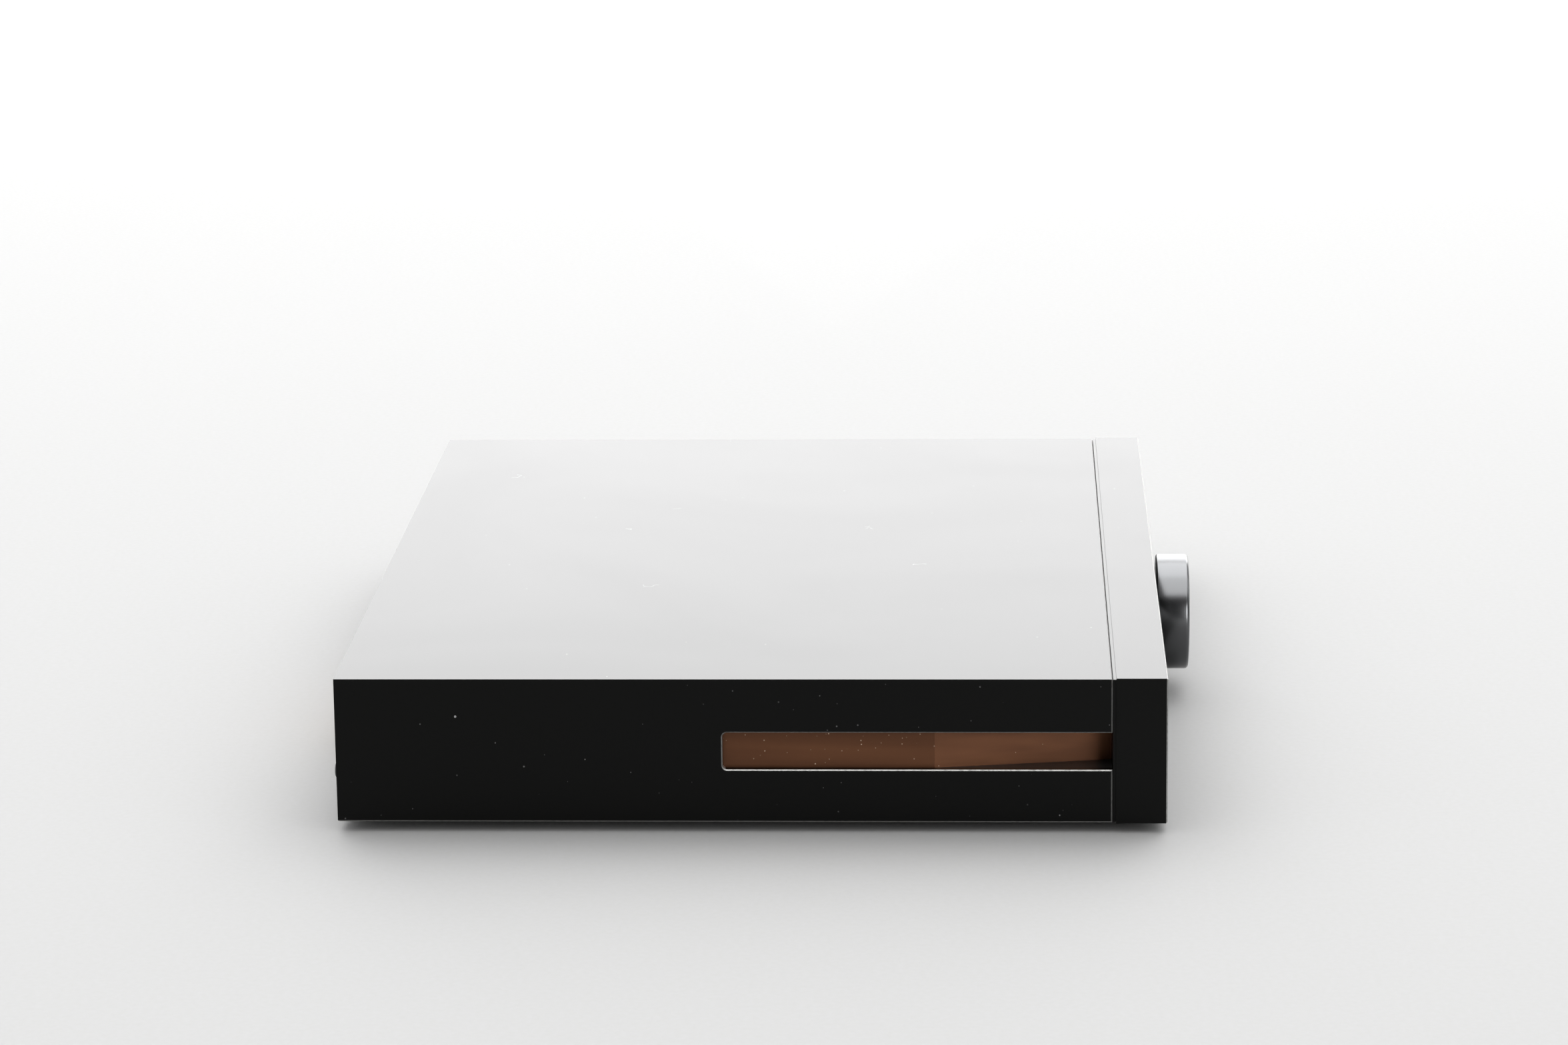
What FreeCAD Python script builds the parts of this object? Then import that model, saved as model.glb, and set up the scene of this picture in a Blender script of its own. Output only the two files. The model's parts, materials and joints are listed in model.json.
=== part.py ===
import FreeCAD, Part
import math
import os

# Slim slot-loading CD player with its own converter board.
# Millimetres. +Z is up, the front panel faces -Y, and the origin is the centre of the underside.

Vec = FreeCAD.Vector

# Casing
case_width = 300.0
case_rear = 115.0          # outer face of the rear panel
seam = -99.85              # front edge of the cover, where the thick panel begins
foot_height = 3.0
case_top = 44.0
side_wall = 2.2
top_wall = 3.0
base_thick = 2.5
rear_thick = 3.0
edge_chamfer = 0.35

# Front panel
panel_front = -115.0
panel_proud = 0.25         # how far the panel stands past the cover on each side
seam_gap = 0.1
rebate_length = 0.9
rebate_depth = 0.4

# Side slots and the coloured strips behind them
slot_rear = 7.7
slot_bottom = 18.1
slot_top = 28.7
slot_corner = 1.3
kink_y = -50.9
slant = math.radians(9.85)
inlay_thick = 1.2
carrier_rear = 12.0
carrier_wall = 1.6

# Knob and encoder
knob_radius = 17.4
knob_front = -126.0
knob_gap = 1.3
knob_z = 24.0
shaft_radius = 3.0
press_travel = 0.8

# Buttons
button_xs = {"eject_button": 108.0, "standby_button": 124.0}
button_radius = 4.3
button_z = 24.0

# Disc drive
disc_x = -82.0
disc_y = -33.0
disc_slot = (-144.5, -20.5, 32.6, 38.0)      # x from, x to, z from, z to
felt_thick = 0.5
drive_left = -134.0
drive_right = -20.0
drive_front = -95.0
drive_rear = 37.0
sheet = 0.8
lift_travel = 3.6
sled_travel = 29.0

# Rear sockets, x of each centre
rca_xs = {"left": -58.0, "right": -38.0, "coax": -10.0}
rca_z = 17.5
rca_barrel_radius = 4.15
socket_reach = 126.0       # how far back the barrels stand
xlr_xs = (-118.0, -88.0)
xlr_z = 23.5
optical_x = 18.0
optical_z = 23.5
inlet_x = 120.0
rocker_x = 84.0
rocker_y = 112.0           # its pin
rocker_z = 23.5
rocker_tilt = 9.0

# Feet
foot_radius = 10.0
foot_x = 130.0
foot_ys = {"rear": 93.6, "front": -82.4}

# Derived places
half_width = case_width / 2
case_bottom = foot_height
inner_x = half_width - side_wall
inner_top = case_top - top_wall
base_top = case_bottom + base_thick
panel_rear = seam - seam_gap
screw_hole = 1.5
screw_shank = 1.45


def block(x0, x1, y0, y1, z0, z1):
    return Part.makeBox(x1 - x0, y1 - y0, z1 - z0, Vec(x0, y0, z0))


def rod_x(radius, x0, x1, y, z):
    return Part.makeCylinder(radius, x1 - x0, Vec(x0, y, z), Vec(1, 0, 0))


def rod_y(radius, y0, y1, x, z):
    return Part.makeCylinder(radius, y1 - y0, Vec(x, y0, z), Vec(0, 1, 0))


def cone_y(first, last, y0, y1, x, z):
    return Part.makeCone(first, last, y1 - y0, Vec(x, y0, z), Vec(0, 1, 0))


def rod_z(radius, z0, z1, x, y):
    return Part.makeCylinder(radius, z1 - z0, Vec(x, y, z0), Vec(0, 0, 1))


def prism_z(points, z0, z1):
    """Upright prism over an outline given as (x, y) points."""
    corners = [Vec(x, y, z0) for x, y in points]
    face = Part.Face(Part.makePolygon(corners + corners[:1]))
    return face.extrude(Vec(0, 0, z1 - z0))


def prism_x(points, x0, x1):
    """Prism along X over an outline given as (y, z) points."""
    corners = [Vec(x0, y, z) for y, z in points]
    face = Part.Face(Part.makePolygon(corners + corners[:1]))
    return face.extrude(Vec(x1 - x0, 0, 0))


def edges_where(shape, test):
    """Straight edges whose two ends both pass the test."""
    found = []
    for edge in shape.Edges:
        ends = [v.Point for v in edge.Vertexes]
        if len(ends) == 2 and all(test(p) for p in ends):
            found.append(edge)
    return found


def near(value, target):
    return abs(value - target) < 1e-3


def rounded_y(x0, x1, y0, y1, z0, z1, radius):
    """Block whose four edges along Y are rounded."""
    body = block(x0, x1, y0, y1, z0, z1)
    along = [e for e in body.Edges if near(abs(e.Vertexes[0].Point.y - e.Vertexes[1].Point.y), y1 - y0)]
    return body.makeFillet(radius, along)


def mirrored(shape):
    return shape.mirror(Vec(0, 0, 0), Vec(1, 0, 0))


def union(shapes):
    return shapes[0].multiFuse(shapes[1:]).removeSplitter()


def save(name, shape):
    shape.exportStep("parts/" + name + ".step")


# ---- casing ----

def slot_cutter():
    """Side opening of the left wall, open towards the front panel."""
    cutter = block(-half_width - 1, -inner_x + 0.5, seam - 1, slot_rear, slot_bottom, slot_top)
    corners = edges_where(cutter, lambda p: near(p.y, slot_rear))
    along_x = [e for e in corners if near(e.Vertexes[0].Point.z, e.Vertexes[1].Point.z)]
    return cutter.makeFillet(slot_corner, along_x)


rail_width = 5.0
rail_height = 6.0
corner_block = (7.0, 16.0, 7.0)              # the rear screw blocks under the top, x, y, z
rear_screw_x = inner_x - 3.5
rear_screw_zs = (8.6, 37.4)
base_screw_x = inner_x - 2.9
base_screw_ys = (-70.0, 10.0, 80.0)


def top_cover():
    shell = block(-half_width, half_width, seam, case_rear, case_bottom, case_top)
    outline = edges_where(shell, lambda p: near(p.z, case_bottom) and near(abs(p.x), half_width))
    outline += edges_where(shell, lambda p: near(p.y, seam) and p.z > case_bottom - 1)
    outline = [e for e in unique_edges(outline) if not lower_front(e)]
    shell = shell.makeChamfer(edge_chamfer, outline)
    shell = shell.cut(block(-inner_x, inner_x, seam - 1, case_rear + 1, case_bottom - 1, inner_top))
    width, length, height = corner_block
    block_rear = case_rear - rear_thick - 0.2
    for side in (-1, 1):
        rail = side_block(side, rail_width, seam + 3, case_rear - 3.4, base_top, base_top + rail_height)
        corner = side_block(side, width, block_rear - length, block_rear, inner_top - height, inner_top)
        shell = shell.fuse(rail).fuse(corner)
        for z in rear_screw_zs:
            shell = shell.cut(rod_y(screw_hole, case_rear - 15, case_rear, side * rear_screw_x, z))
        for y in base_screw_ys:
            shell = shell.cut(rod_z(screw_hole, base_top - 1, base_top + 5, side * base_screw_x, y))
    cutter = slot_cutter()
    shell = shell.cut(cutter).cut(mirrored(cutter))
    rim = [e for e in shell.Edges if slot_rim(e)]
    return shell.makeChamfer(0.3, rim).removeSplitter()


def lower_front(edge):
    """True for the edge along X where the open underside meets the panel."""
    return all(near(v.Point.z, case_bottom) and near(v.Point.y, seam) for v in edge.Vertexes)


def slot_rim(edge):
    """True for an edge of a side opening that lies in the outer face of its wall."""
    box = edge.BoundBox
    outside = near(abs(box.XMin), half_width) and near(abs(box.XMax), half_width)
    in_height = box.ZMin > slot_bottom - 0.1 and box.ZMax < slot_top + 0.1
    return outside and in_height and box.YMax < slot_rear + 0.1 and box.YMax - box.YMin > 0.5


def unique_edges(edges):
    kept = []
    for edge in edges:
        if not any(edge.isSame(other) for other in kept):
            kept.append(edge)
    return kept


def side_block(side, width, y0, y1, z0, z1):
    """Block against the inner face of a side wall."""
    x0, x1 = sorted((side * inner_x, side * (inner_x - width)))
    return block(x0, x1, y0, y1, z0, z1)


panel_screw_xs = (-120.0, -60.0, 0.0, 60.0, 120.0)
panel_screw_z = 8.6
lip_rear = seam + 2.25
bolt_x = 92.0
bolt_y = 52.0


def base_plate():
    plate = block(-inner_x + 0.2, inner_x - 0.2, seam + 0.25, case_rear - 0.1, case_bottom, base_top)
    plate = plate.fuse(block(-130, 130, seam + 0.25, lip_rear, base_top, base_top + 6.5))
    cuts = [rod_y(screw_hole, seam, lip_rear + 1, x, panel_screw_z) for x in panel_screw_xs]
    for x in (-foot_x, foot_x):
        cuts += [rod_z(screw_hole, 0, base_top + 1, x, y) for y in foot_ys.values()]
    for x in (-base_screw_x, base_screw_x):
        cuts += [rod_z(screw_hole, 0, base_top + 1, x, y) for y in base_screw_ys]
        cuts += [Part.makeCone(2.7, screw_hole, 1.2, Vec(x, y, case_bottom)) for y in base_screw_ys]
    cuts += [rod_z(screw_hole, 0, base_top + 1, x, y) for x, y in standoff_places() + damper_places()]
    cuts.append(rod_z(3.05, 0, base_top + 1, bolt_x, bolt_y))
    for row_y in (-72.0, -28.0):
        cuts += [vent(18 + 9 * step, row_y) for step in range(11)]
    return plate.cut(Part.makeCompound(cuts))


def vent(x, y):
    """Long hole with round ends, 34 long and 3 wide."""
    middle = block(x - 1.5, x + 1.5, y, y + 31, 0, base_top + 1)
    return middle.fuse(rod_z(1.5, 0, base_top + 1, x, y)).fuse(rod_z(1.5, 0, base_top + 1, x, y + 31))


def rear_panel():
    y0, y1 = case_rear - rear_thick, case_rear
    plate = block(-inner_x + 0.2, inner_x - 0.2, y0, y1, base_top + 0.05, inner_top - 0.1)
    cuts = []
    for side in (-1, 1):
        for z in rear_screw_zs:
            cuts.append(rod_y(screw_hole, y0 - 1, y1 + 1, side * rear_screw_x, z))
            cuts.append(cone_y(screw_hole, 2.7, y1 - 1.2, y1, side * rear_screw_x, z))
    cuts += [rod_y(5.1, y0 - 1, y1 + 1, x, rca_z) for x in rca_xs.values()]
    cuts += [rod_y(11.1, y0 - 1, y1 + 1, x, xlr_z) for x in xlr_xs]
    cuts.append(block(inlet_x - 14.1, inlet_x + 14.1, y0 - 1, y1 + 1, 9.9, 36.1))
    cuts.append(block(rocker_x - 6.6, rocker_x + 6.6, y0 - 1, y1 + 1, rocker_z - 9.6, rocker_z + 9.6))
    cuts.append(block(optical_x - 6.1, optical_x + 6.1, y0 - 1, y1 + 1, optical_z - 6.1, optical_z + 6.1))
    return plate.cut(Part.makeCompound(cuts))


window = (30.0, 94.0, 13.0, 35.0)            # x from, x to, z from, z to
window_thick = 1.5
window_gap = 0.1
encoder_pocket_y = -107.0


def front_panel():
    x = half_width + panel_proud
    low, high = case_bottom - 0.15, case_top + 0.3
    slab = block(-x, x, panel_front, panel_rear - rebate_length, low, high)
    outer = edges_where(slab, lambda p: near(p.y, panel_front))
    slab = slab.makeChamfer(edge_chamfer, outer)
    step = rebate_depth
    tongue = block(-x + step, x - step, panel_rear - rebate_length, panel_rear, low + step, high - step)
    slab = slab.fuse(tongue)
    x0, x1, z0, z1 = disc_slot
    cuts = [rounded_y(x0, x1, panel_front - 1, panel_rear + 1, z0, z1, (z1 - z0) / 2 - 0.01)]
    x0, x1, z0, z1 = window
    floor_y = panel_front + window_thick
    cuts.append(rounded_y(x0, x1, panel_front - 1, floor_y, z0, z1, 2.0))
    cuts.append(block(x0 + 3, x1 - 3, floor_y - 1, panel_rear, z0 + 2.5, z1 - 2.5))
    cuts.append(block(x0 + 1, x1 - 1, floor_y + 4.5, panel_rear + 1, z0 + 0.5, z1 - 0.5))
    cuts.append(rod_y(3.7, panel_front - 1, panel_rear, 0, knob_z))
    cuts.append(rod_y(8.0, panel_front - 1, panel_front + 3.5, 0, knob_z))
    cuts.append(block(-9, 9, encoder_pocket_y, panel_rear + 1, knob_z - 9, knob_z + 9))
    for bx in button_xs.values():
        cuts.append(rod_y(button_radius + 0.3, panel_front - 1, panel_rear, bx, button_z))
        cuts.append(rod_y(6.2, -107.0, panel_rear + 1, bx, button_z))
    cuts += [rod_y(screw_hole, panel_rear - 7, panel_rear + 1, sx, panel_screw_z) for sx in panel_screw_xs]
    return slab.cut(Part.makeCompound(cuts))


def strip_path(inset):
    """The strip's outline seen from above, inset from its outer face: rear, kink and front points."""
    kink_shift = inset * math.tan(slant / 2)
    front_x = side_wall + (kink_y - seam) * math.tan(slant) + inset / math.cos(slant)
    flat_x = side_wall + inset
    return [(flat_x, carrier_rear - carrier_wall), (flat_x, kink_y - kink_shift), (front_x, seam)]


def from_side(points):
    """Points given as (distance in from the left side, y) turned into (x, y)."""
    return [(depth - half_width, y) for depth, y in points]


def inlay():
    outline = strip_path(0) + strip_path(inlay_thick)[::-1]
    return prism_z(from_side(outline), slot_bottom - 3, slot_top + 2.3)


def inlay_carrier():
    back = strip_path(inlay_thick + carrier_wall)
    back[0] = (back[0][0], carrier_rear)
    outline = [(side_wall, carrier_rear)] + back + [(side_wall, seam)]
    body = prism_z(from_side(outline), slot_bottom - 4, slot_top + 3.3)
    body = body.cut(inlay())
    rear, kink, front = strip_path(0)
    wedge = [kink, front, (side_wall, seam)]
    return body.cut(prism_z(from_side(wedge), slot_bottom, slot_top))


def foot(x, y):
    body = rod_z(foot_radius, 0, foot_height, x, y)
    lower = [e for e in body.Edges if near(e.BoundBox.ZMax, 0)]
    body = body.makeFillet(1.8, lower)
    return body.cut(rod_z(3.3, -1, 1.7, x, y)).cut(rod_z(1.7, 0, foot_height + 1, x, y))


def case_screws():
    parts = []
    for x in (-foot_x, foot_x):
        for y in foot_ys.values():
            parts.append(rod_z(2.9, 0.5, 1.7, x, y).fuse(rod_z(screw_shank, 1.7, base_top, x, y)))
    for x in (-base_screw_x, base_screw_x):
        for y in base_screw_ys:
            head = Part.makeCone(2.55, screw_shank, 1.1, Vec(x, y, case_bottom + 0.05))
            parts.append(head.fuse(rod_z(screw_shank, case_bottom + 0.1, base_top + 4.5, x, y)))
    for x in panel_screw_xs:
        parts.append(rod_y(screw_shank, panel_rear - 6, lip_rear, x, panel_screw_z).fuse(
            rod_y(2.7, lip_rear, lip_rear + 1.8, x, panel_screw_z)))
    return Part.makeCompound(parts)


def rear_screws():
    parts = []
    for side in (-1, 1):
        for z in rear_screw_zs:
            x = side * rear_screw_x
            head = cone_y(screw_shank, 2.55, case_rear - 1.2, case_rear - 0.1, x, z)
            screw = head.fuse(rod_y(screw_shank, case_rear - 12, case_rear - 1, x, z))
            parts.append(screw.cut(hexagon_y(1.0, case_rear - 0.9, case_rear, x, z)))
    return Part.makeCompound(parts)


def hexagon_y(radius, y0, y1, x, z):
    points = []
    for step in range(6):
        angle = math.radians(60 * step)
        points.append(Vec(x + radius * math.cos(angle), y0, z + radius * math.sin(angle)))
    return Part.Face(Part.makePolygon(points + points[:1])).extrude(Vec(0, y1 - y0, 0))


# ---- front controls ----

def display_window():
    x0, x1, z0, z1 = window
    y0, y1 = panel_front + window_gap, panel_front + window_thick
    return rounded_y(x0 + window_gap, x1 - window_gap, y0, y1, z0 + window_gap, z1 - window_gap, 1.9)


board_front = -97.0
board_rear = -95.4


def display_module():
    x0, x1, z0, z1 = window
    glass = block(x0 + 1.3, x1 - 1.3, panel_front + 6.1, -103, z0 + 0.8, z1 - 0.8)
    header = block(x0 + 12, x1 - 12, -103, board_front, z0 + 2, z0 + 4.5)
    return glass.fuse(header)


def slot_felts():
    x0, x1, z0, z1 = disc_slot
    lower = block(x0 + 3, x1 - 3, panel_front + 4, panel_front + 10, z0, z0 + felt_thick)
    upper = block(x0 + 3, x1 - 3, panel_front + 4, panel_front + 10, z1 - felt_thick, z1)
    return Part.makeCompound([lower, upper])


def control_board():
    board = block(-12, 131, board_front, board_rear, 12, 38)
    switches = [block(x - 3, x + 3, board_front - 2.6, board_front, button_z - 3, button_z + 3)
                for x in button_xs.values()]
    chips = [block(20 + 30 * n, 32 + 30 * n, board_rear, board_rear + 1.4, 18, 30) for n in range(3)]
    return union([board] + switches + chips)


encoder_front = -104.5
collar_radius = 4.6


def encoder_body():
    body = block(-6.5, 6.5, encoder_front, board_front, knob_z - 6.5, knob_z + 6.5)
    body = body.fuse(rod_y(3.5, -114, encoder_front + 0.5, 0, knob_z))
    body = body.cut(rod_y(shaft_radius + 0.05, -115, board_front, 0, knob_z))
    return body.cut(rod_y(collar_radius + 0.4, encoder_front + 1, board_front + 1, 0, knob_z))


def encoder_nut():
    return hexagon_y(6.0, -113.5, panel_front + 3.5, 0, knob_z).cut(rod_y(3.52, -114, -111, 0, knob_z))


def encoder_shaft():
    shaft = rod_y(shaft_radius, knob_front + 2, -101.2, 0, knob_z)
    flat = block(-4, 4, knob_front + 1, -116, knob_z + 2.2, knob_z + 4)
    return shaft.cut(flat).fuse(rod_y(collar_radius, -103.3, -101.2, 0, knob_z))


def encoder_plunger():
    return rod_y(collar_radius, -101.2, -98.6, 0, knob_z)


def knob():
    back = panel_front - knob_gap
    body = rod_y(knob_radius, knob_front, back, 0, knob_z)
    front_rim = [e for e in body.Edges if near(e.BoundBox.YMax, knob_front)]
    body = body.makeFillet(0.8, front_rim)
    back_rim = [e for e in body.Edges if near(e.BoundBox.YMin, back)]
    body = body.makeChamfer(0.3, back_rim)
    body = body.cut(rod_y(shaft_radius + 0.03, knob_front + 2, back + 1, 0, knob_z))
    return body.cut(rod_z(1.52, knob_z - knob_radius - 1, knob_z - shaft_radius, 0, back - 3.2))


def knob_grub_screw():
    y = panel_front - knob_gap - 3.2
    screw = rod_z(1.5, knob_z - 11, knob_z - shaft_radius - 0.05, 0, y)
    socket = rod_z(0.8, knob_z - 12, knob_z - 9.5, 0, y)
    return screw.cut(socket)


def button(x):
    face = rod_y(button_radius, panel_front - 1.2, -106.9, x, button_z)
    rim = [e for e in face.Edges if near(e.BoundBox.YMax, panel_front - 1.2)]
    face = face.makeFillet(0.5, rim)
    return union([face, rod_y(5.5, -106.9, -105.9, x, button_z), rod_y(1.5, -105.9, -100.6, x, button_z)])


# ---- rear sockets ----

def rca_barrels():
    parts = []
    for x in rca_xs.values():
        barrel = rod_y(rca_barrel_radius, case_rear + 1.5, socket_reach, x, rca_z)
        rim = [e for e in barrel.Edges if near(e.BoundBox.YMin, socket_reach)]
        barrel = barrel.makeChamfer(0.4, rim)
        parts.append(barrel.cut(rod_y(3.4, case_rear + 1, socket_reach + 1, x, rca_z)))
    return Part.makeCompound(parts)


def rca_bodies():
    parts = []
    for x in rca_xs.values():
        ring = rod_y(6.8, case_rear, case_rear + 1.5, x, rca_z)
        core = rod_y(3.35, case_rear + 1.5, socket_reach - 1, x, rca_z)
        stem = rod_y(5.0, case_rear - 8, case_rear, x, rca_z)
        rear = block(x - 7, x + 7, 96, case_rear - 8, 12.2, rca_z + 7)
        body = union([ring, core, stem, rear])
        parts.append(body.cut(rod_y(1.65, case_rear - 2, socket_reach, x, rca_z)))
    return Part.makeCompound(parts)


def xlr_sockets():
    parts = []
    for x in xlr_xs:
        flange = rounded_y(x - 13, x + 13, case_rear, case_rear + 2, xlr_z - 15.5, xlr_z + 15.5, 2.0)
        sleeve = rod_y(11.0, 98, case_rear, x, xlr_z)
        rear = block(x - 10, x + 10, 94, 98, 12.2, xlr_z + 9)
        body = union([flange, sleeve, rear])
        body = body.cut(rod_y(9.0, 101, case_rear + 3, x, xlr_z))
        holes = [rod_y(1.6, 114, 118, x + side * 9.6, xlr_z + side * 12.2) for side in (-1, 1)]
        parts.append(body.cut(Part.makeCompound(holes)))
    return Part.makeCompound(parts)


def contact_pins():
    """Three round pins in each balanced socket and three flat blades in the mains inlet."""
    parts = []
    for x in xlr_xs:
        for dx, dz in ((-3.5, 2.0), (3.5, 2.0), (0.0, -3.8)):
            parts.append(rod_y(1.2, 101, 110.5, x + dx, xlr_z + dz))
    for dx, z in ((-7.0, 24.0), (7.0, 24.0), (0.0, 28.5)):
        parts.append(block(inlet_x + dx - 1, inlet_x + dx + 1, 99, 113.5, z - 2, z + 2))
    return Part.makeCompound(parts)


def optical_socket():
    x, z = optical_x, optical_z
    flange = block(x - 7.5, x + 7.5, case_rear, case_rear + 2, z - 7.5, z + 7.5)
    shell = block(x - 6, x + 6, 98, case_rear, z - 6, z + 6)
    body = flange.fuse(shell)
    body = body.cut(block(x - 4.5, x + 4.5, 103, case_rear + 3, z - 4.5, z + 4.5))
    return body.cut(rod_x(0.65, x - 5.3, x + 5.3, case_rear + 1, z + 3.6))


def optical_shutter():
    x, z = optical_x, optical_z
    flap = block(x - 4.2, x + 4.2, case_rear + 0.6, case_rear + 1.4, z - 4.2, z + 3.2)
    return flap.fuse(rod_x(0.6, x - 5.2, x + 5.2, case_rear + 1, z + 3.6))


def mains_inlet():
    flange = rounded_y(inlet_x - 16, inlet_x + 16, case_rear, case_rear + 3, 8, 38, 2.0)
    body = flange.fuse(block(inlet_x - 14, inlet_x + 14, 92, case_rear, 10, 36))
    cavity = block(inlet_x - 12, inlet_x + 12, 99, case_rear + 4, 19, 34)
    upper = [e for e in edges_where(cavity, lambda p: near(p.z, 34)) if near(e.Length, 20)]
    cavity = cavity.makeChamfer(4.0, upper)
    drawer_bay = block(inlet_x - 11, inlet_x + 11, 94, case_rear + 4, 10.9, 17.1)
    return body.cut(cavity).cut(drawer_bay)


def fuse_drawer():
    tray = block(inlet_x - 10.6, inlet_x + 10.6, 95, case_rear + 3, 11.3, 16.7)
    tray = tray.cut(block(inlet_x - 9.4, inlet_x + 9.4, 96.5, case_rear - 8, 12.4, 18))
    face = block(inlet_x - 11.5, inlet_x + 11.5, case_rear + 3.1, case_rear + 4.3, 10.8, 17.3)
    neck = block(inlet_x - 10.6, inlet_x + 10.6, case_rear + 3, case_rear + 3.1, 11.3, 16.7)
    return union([tray, neck, face])


def fuse():
    return rod_x(2.0, inlet_x - 9.3, inlet_x + 9.3, 101, 14.5)


def rocker_housing():
    x, z = rocker_x, rocker_z
    flange = rounded_y(x - 7.6, x + 7.6, case_rear, case_rear + 1.8, z - 10.6, z + 10.6, 1.2)
    body = flange.fuse(block(x - 6.5, x + 6.5, 98, case_rear, z - 9.5, z + 9.5))
    body = body.cut(block(x - 5.3, x + 5.3, 105, case_rear + 2, z - 8.3, z + 8.3))
    return body.cut(rod_x(1.05, x - 6.1, x + 6.1, rocker_y, z))


def power_rocker():
    """Shallow V seen from the side, turned about its pin to the off position."""
    x, y, z = rocker_x, rocker_y, rocker_z
    reach, rise = 7.4, 5.0
    root, half_root = y - 2.5, 5.5
    lower = [(root, z - half_root), (y + rise, z - reach)]
    upper = [(y + rise, z + reach), (root, z + half_root)]
    outline = lower + [(y + rise - 1.1, z)] + upper
    body = prism_x(outline, x - 5.0, x + 5.0).fuse(rod_x(1.0, x - 6.0, x + 6.0, y, z))
    body.rotate(Vec(x, y, z), Vec(1, 0, 0), -rocker_tilt)
    return body


# ---- electronics ----

board_z = 10.5
board_thick = 1.6
main_board_box = (-140.0, 44.0, 44.0, 110.0)
power_board_box = (4.0, 128.0, -84.0, 8.0)


def corners_of(box, inset):
    x0, x1, y0, y1 = box
    return [(x, y) for x in (x0 + inset, x1 - inset) for y in (y0 + inset, y1 - inset)]


def standoff_places():
    return corners_of(main_board_box, 5) + corners_of(power_board_box, 5)


def damper_places():
    return [(x, y) for x in (drive_left + 7, drive_right - 7) for y in (drive_front + 11, drive_rear - 9)]


def standoffs():
    """Pillars under the boards, each with its screw through the board and through the base."""
    parts = []
    for x, y in standoff_places():
        pillar = rod_z(2.6, base_top, board_z, x, y)
        lower = rod_z(screw_shank, case_bottom + 0.3, base_top, x, y)
        upper = rod_z(screw_shank, board_z, board_z + board_thick, x, y)
        head = rod_z(2.6, board_z + board_thick, board_z + board_thick + 1.8, x, y)
        parts.append(union([lower, pillar, upper, head]))
    return Part.makeCompound(parts)


def circuit_board(box):
    x0, x1, y0, y1 = box
    board = block(x0, x1, y0, y1, board_z, board_z + board_thick)
    return board.cut(Part.makeCompound([rod_z(screw_hole, 0, 20, x, y) for x, y in corners_of(box, 5)]))


def audio_chips():
    top = board_z + board_thick
    wide = [block(x, x + 14, 66, 80, top, top + 1.6) for x in (-110, -60, -14)]
    small = [block(x, x + 6, 56, 61, top, top + 1.5) for x in range(-128, 30, 18)]
    return Part.makeCompound(wide + small)


def rounded_can(radius, z0, z1, x, y):
    can = rod_z(radius, z0, z1, x, y)
    return can.makeFillet(0.8, [e for e in can.Edges if near(e.BoundBox.ZMin, z1)])


def audio_capacitors():
    top = board_z + board_thick
    rows = [rounded_can(4.0, top, top + 11, x, 88) for x in (-128, -88, -54, -46, -12, 20)]
    rows += [rounded_can(3.0, top, top + 8, x, 50) for x in range(-120, 40, 20)]
    return Part.makeCompound(rows)


def power_capacitors():
    top = board_z + board_thick
    return Part.makeCompound([rounded_can(9.0, top, top + 25, 22 + 22 * n, -22) for n in range(4)])


def heatsink():
    """Finned bar standing on the power board."""
    top = board_z + board_thick
    fins = [block(18 + 4 * n, 19.4 + 4 * n, -70, -52, top, top + 22) for n in range(20)]
    return union([block(18, 95.4, -54, -51, top, top + 22)] + fins)


def transformer():
    ring = rod_z(36, base_top + 1, 34.5, bolt_x, bolt_y)
    ring = ring.makeFillet(8.0, [e for e in ring.Edges if near(e.BoundBox.ZMin, e.BoundBox.ZMax)])
    return ring.cut(rod_z(9, 0, 40, bolt_x, bolt_y))


def transformer_clamp():
    """Rubber-faced dish washer with the bolt that holds the ring down."""
    washer = rod_z(24, 34.5, 36.0, bolt_x, bolt_y)
    washer = washer.makeChamfer(0.8, [e for e in washer.Edges if near(e.BoundBox.ZMin, 36.0)])
    shank = rod_z(3.0, case_bottom + 0.3, 36, bolt_x, bolt_y)
    return union([washer, shank, rod_z(5.5, 36.0, 39.0, bolt_x, bolt_y)])


def ribbon_cables():
    """Flat cables with their board plugs: from the front controls and from the drive to the main board."""
    top = board_z + board_thick
    front = [block(-14, -2, board_rear, board_rear + 0.3, 13, 22), block(-14, -2, board_rear, 45, 13, 13.3),
             block(-15, -1, 44.5, 46.9, top, 16)]
    drive = [block(-96, -76, drive_rear, drive_rear + 0.3, 13, 20), block(-96, -76, drive_rear, 45, 13, 13.3),
             block(-97, -75, 44.5, 46.9, top, 16)]
    return Part.makeCompound([union(front), union(drive)])


# ---- disc drive ----

cover_z = 38.0
roller_y = -88.0
roller_z = 29.9
roller_radius = 3.0
gear_x = (-18.8, -16.2)
gear_module = 0.6
gear_teeth = 22
pinion_teeth = 10
axis_gap = gear_module * (gear_teeth + pinion_teeth) / 2 + 0.15
pinion_angle = math.radians(-52)
motor_y = roller_y + axis_gap * math.cos(pinion_angle)
motor_z = roller_z + axis_gap * math.sin(pinion_angle)
post_places = ((-112.0, -50.0), (-112.0, 26.0), (-51.0, -50.0), (-51.0, 26.0))
post_radius = 2.0


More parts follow.
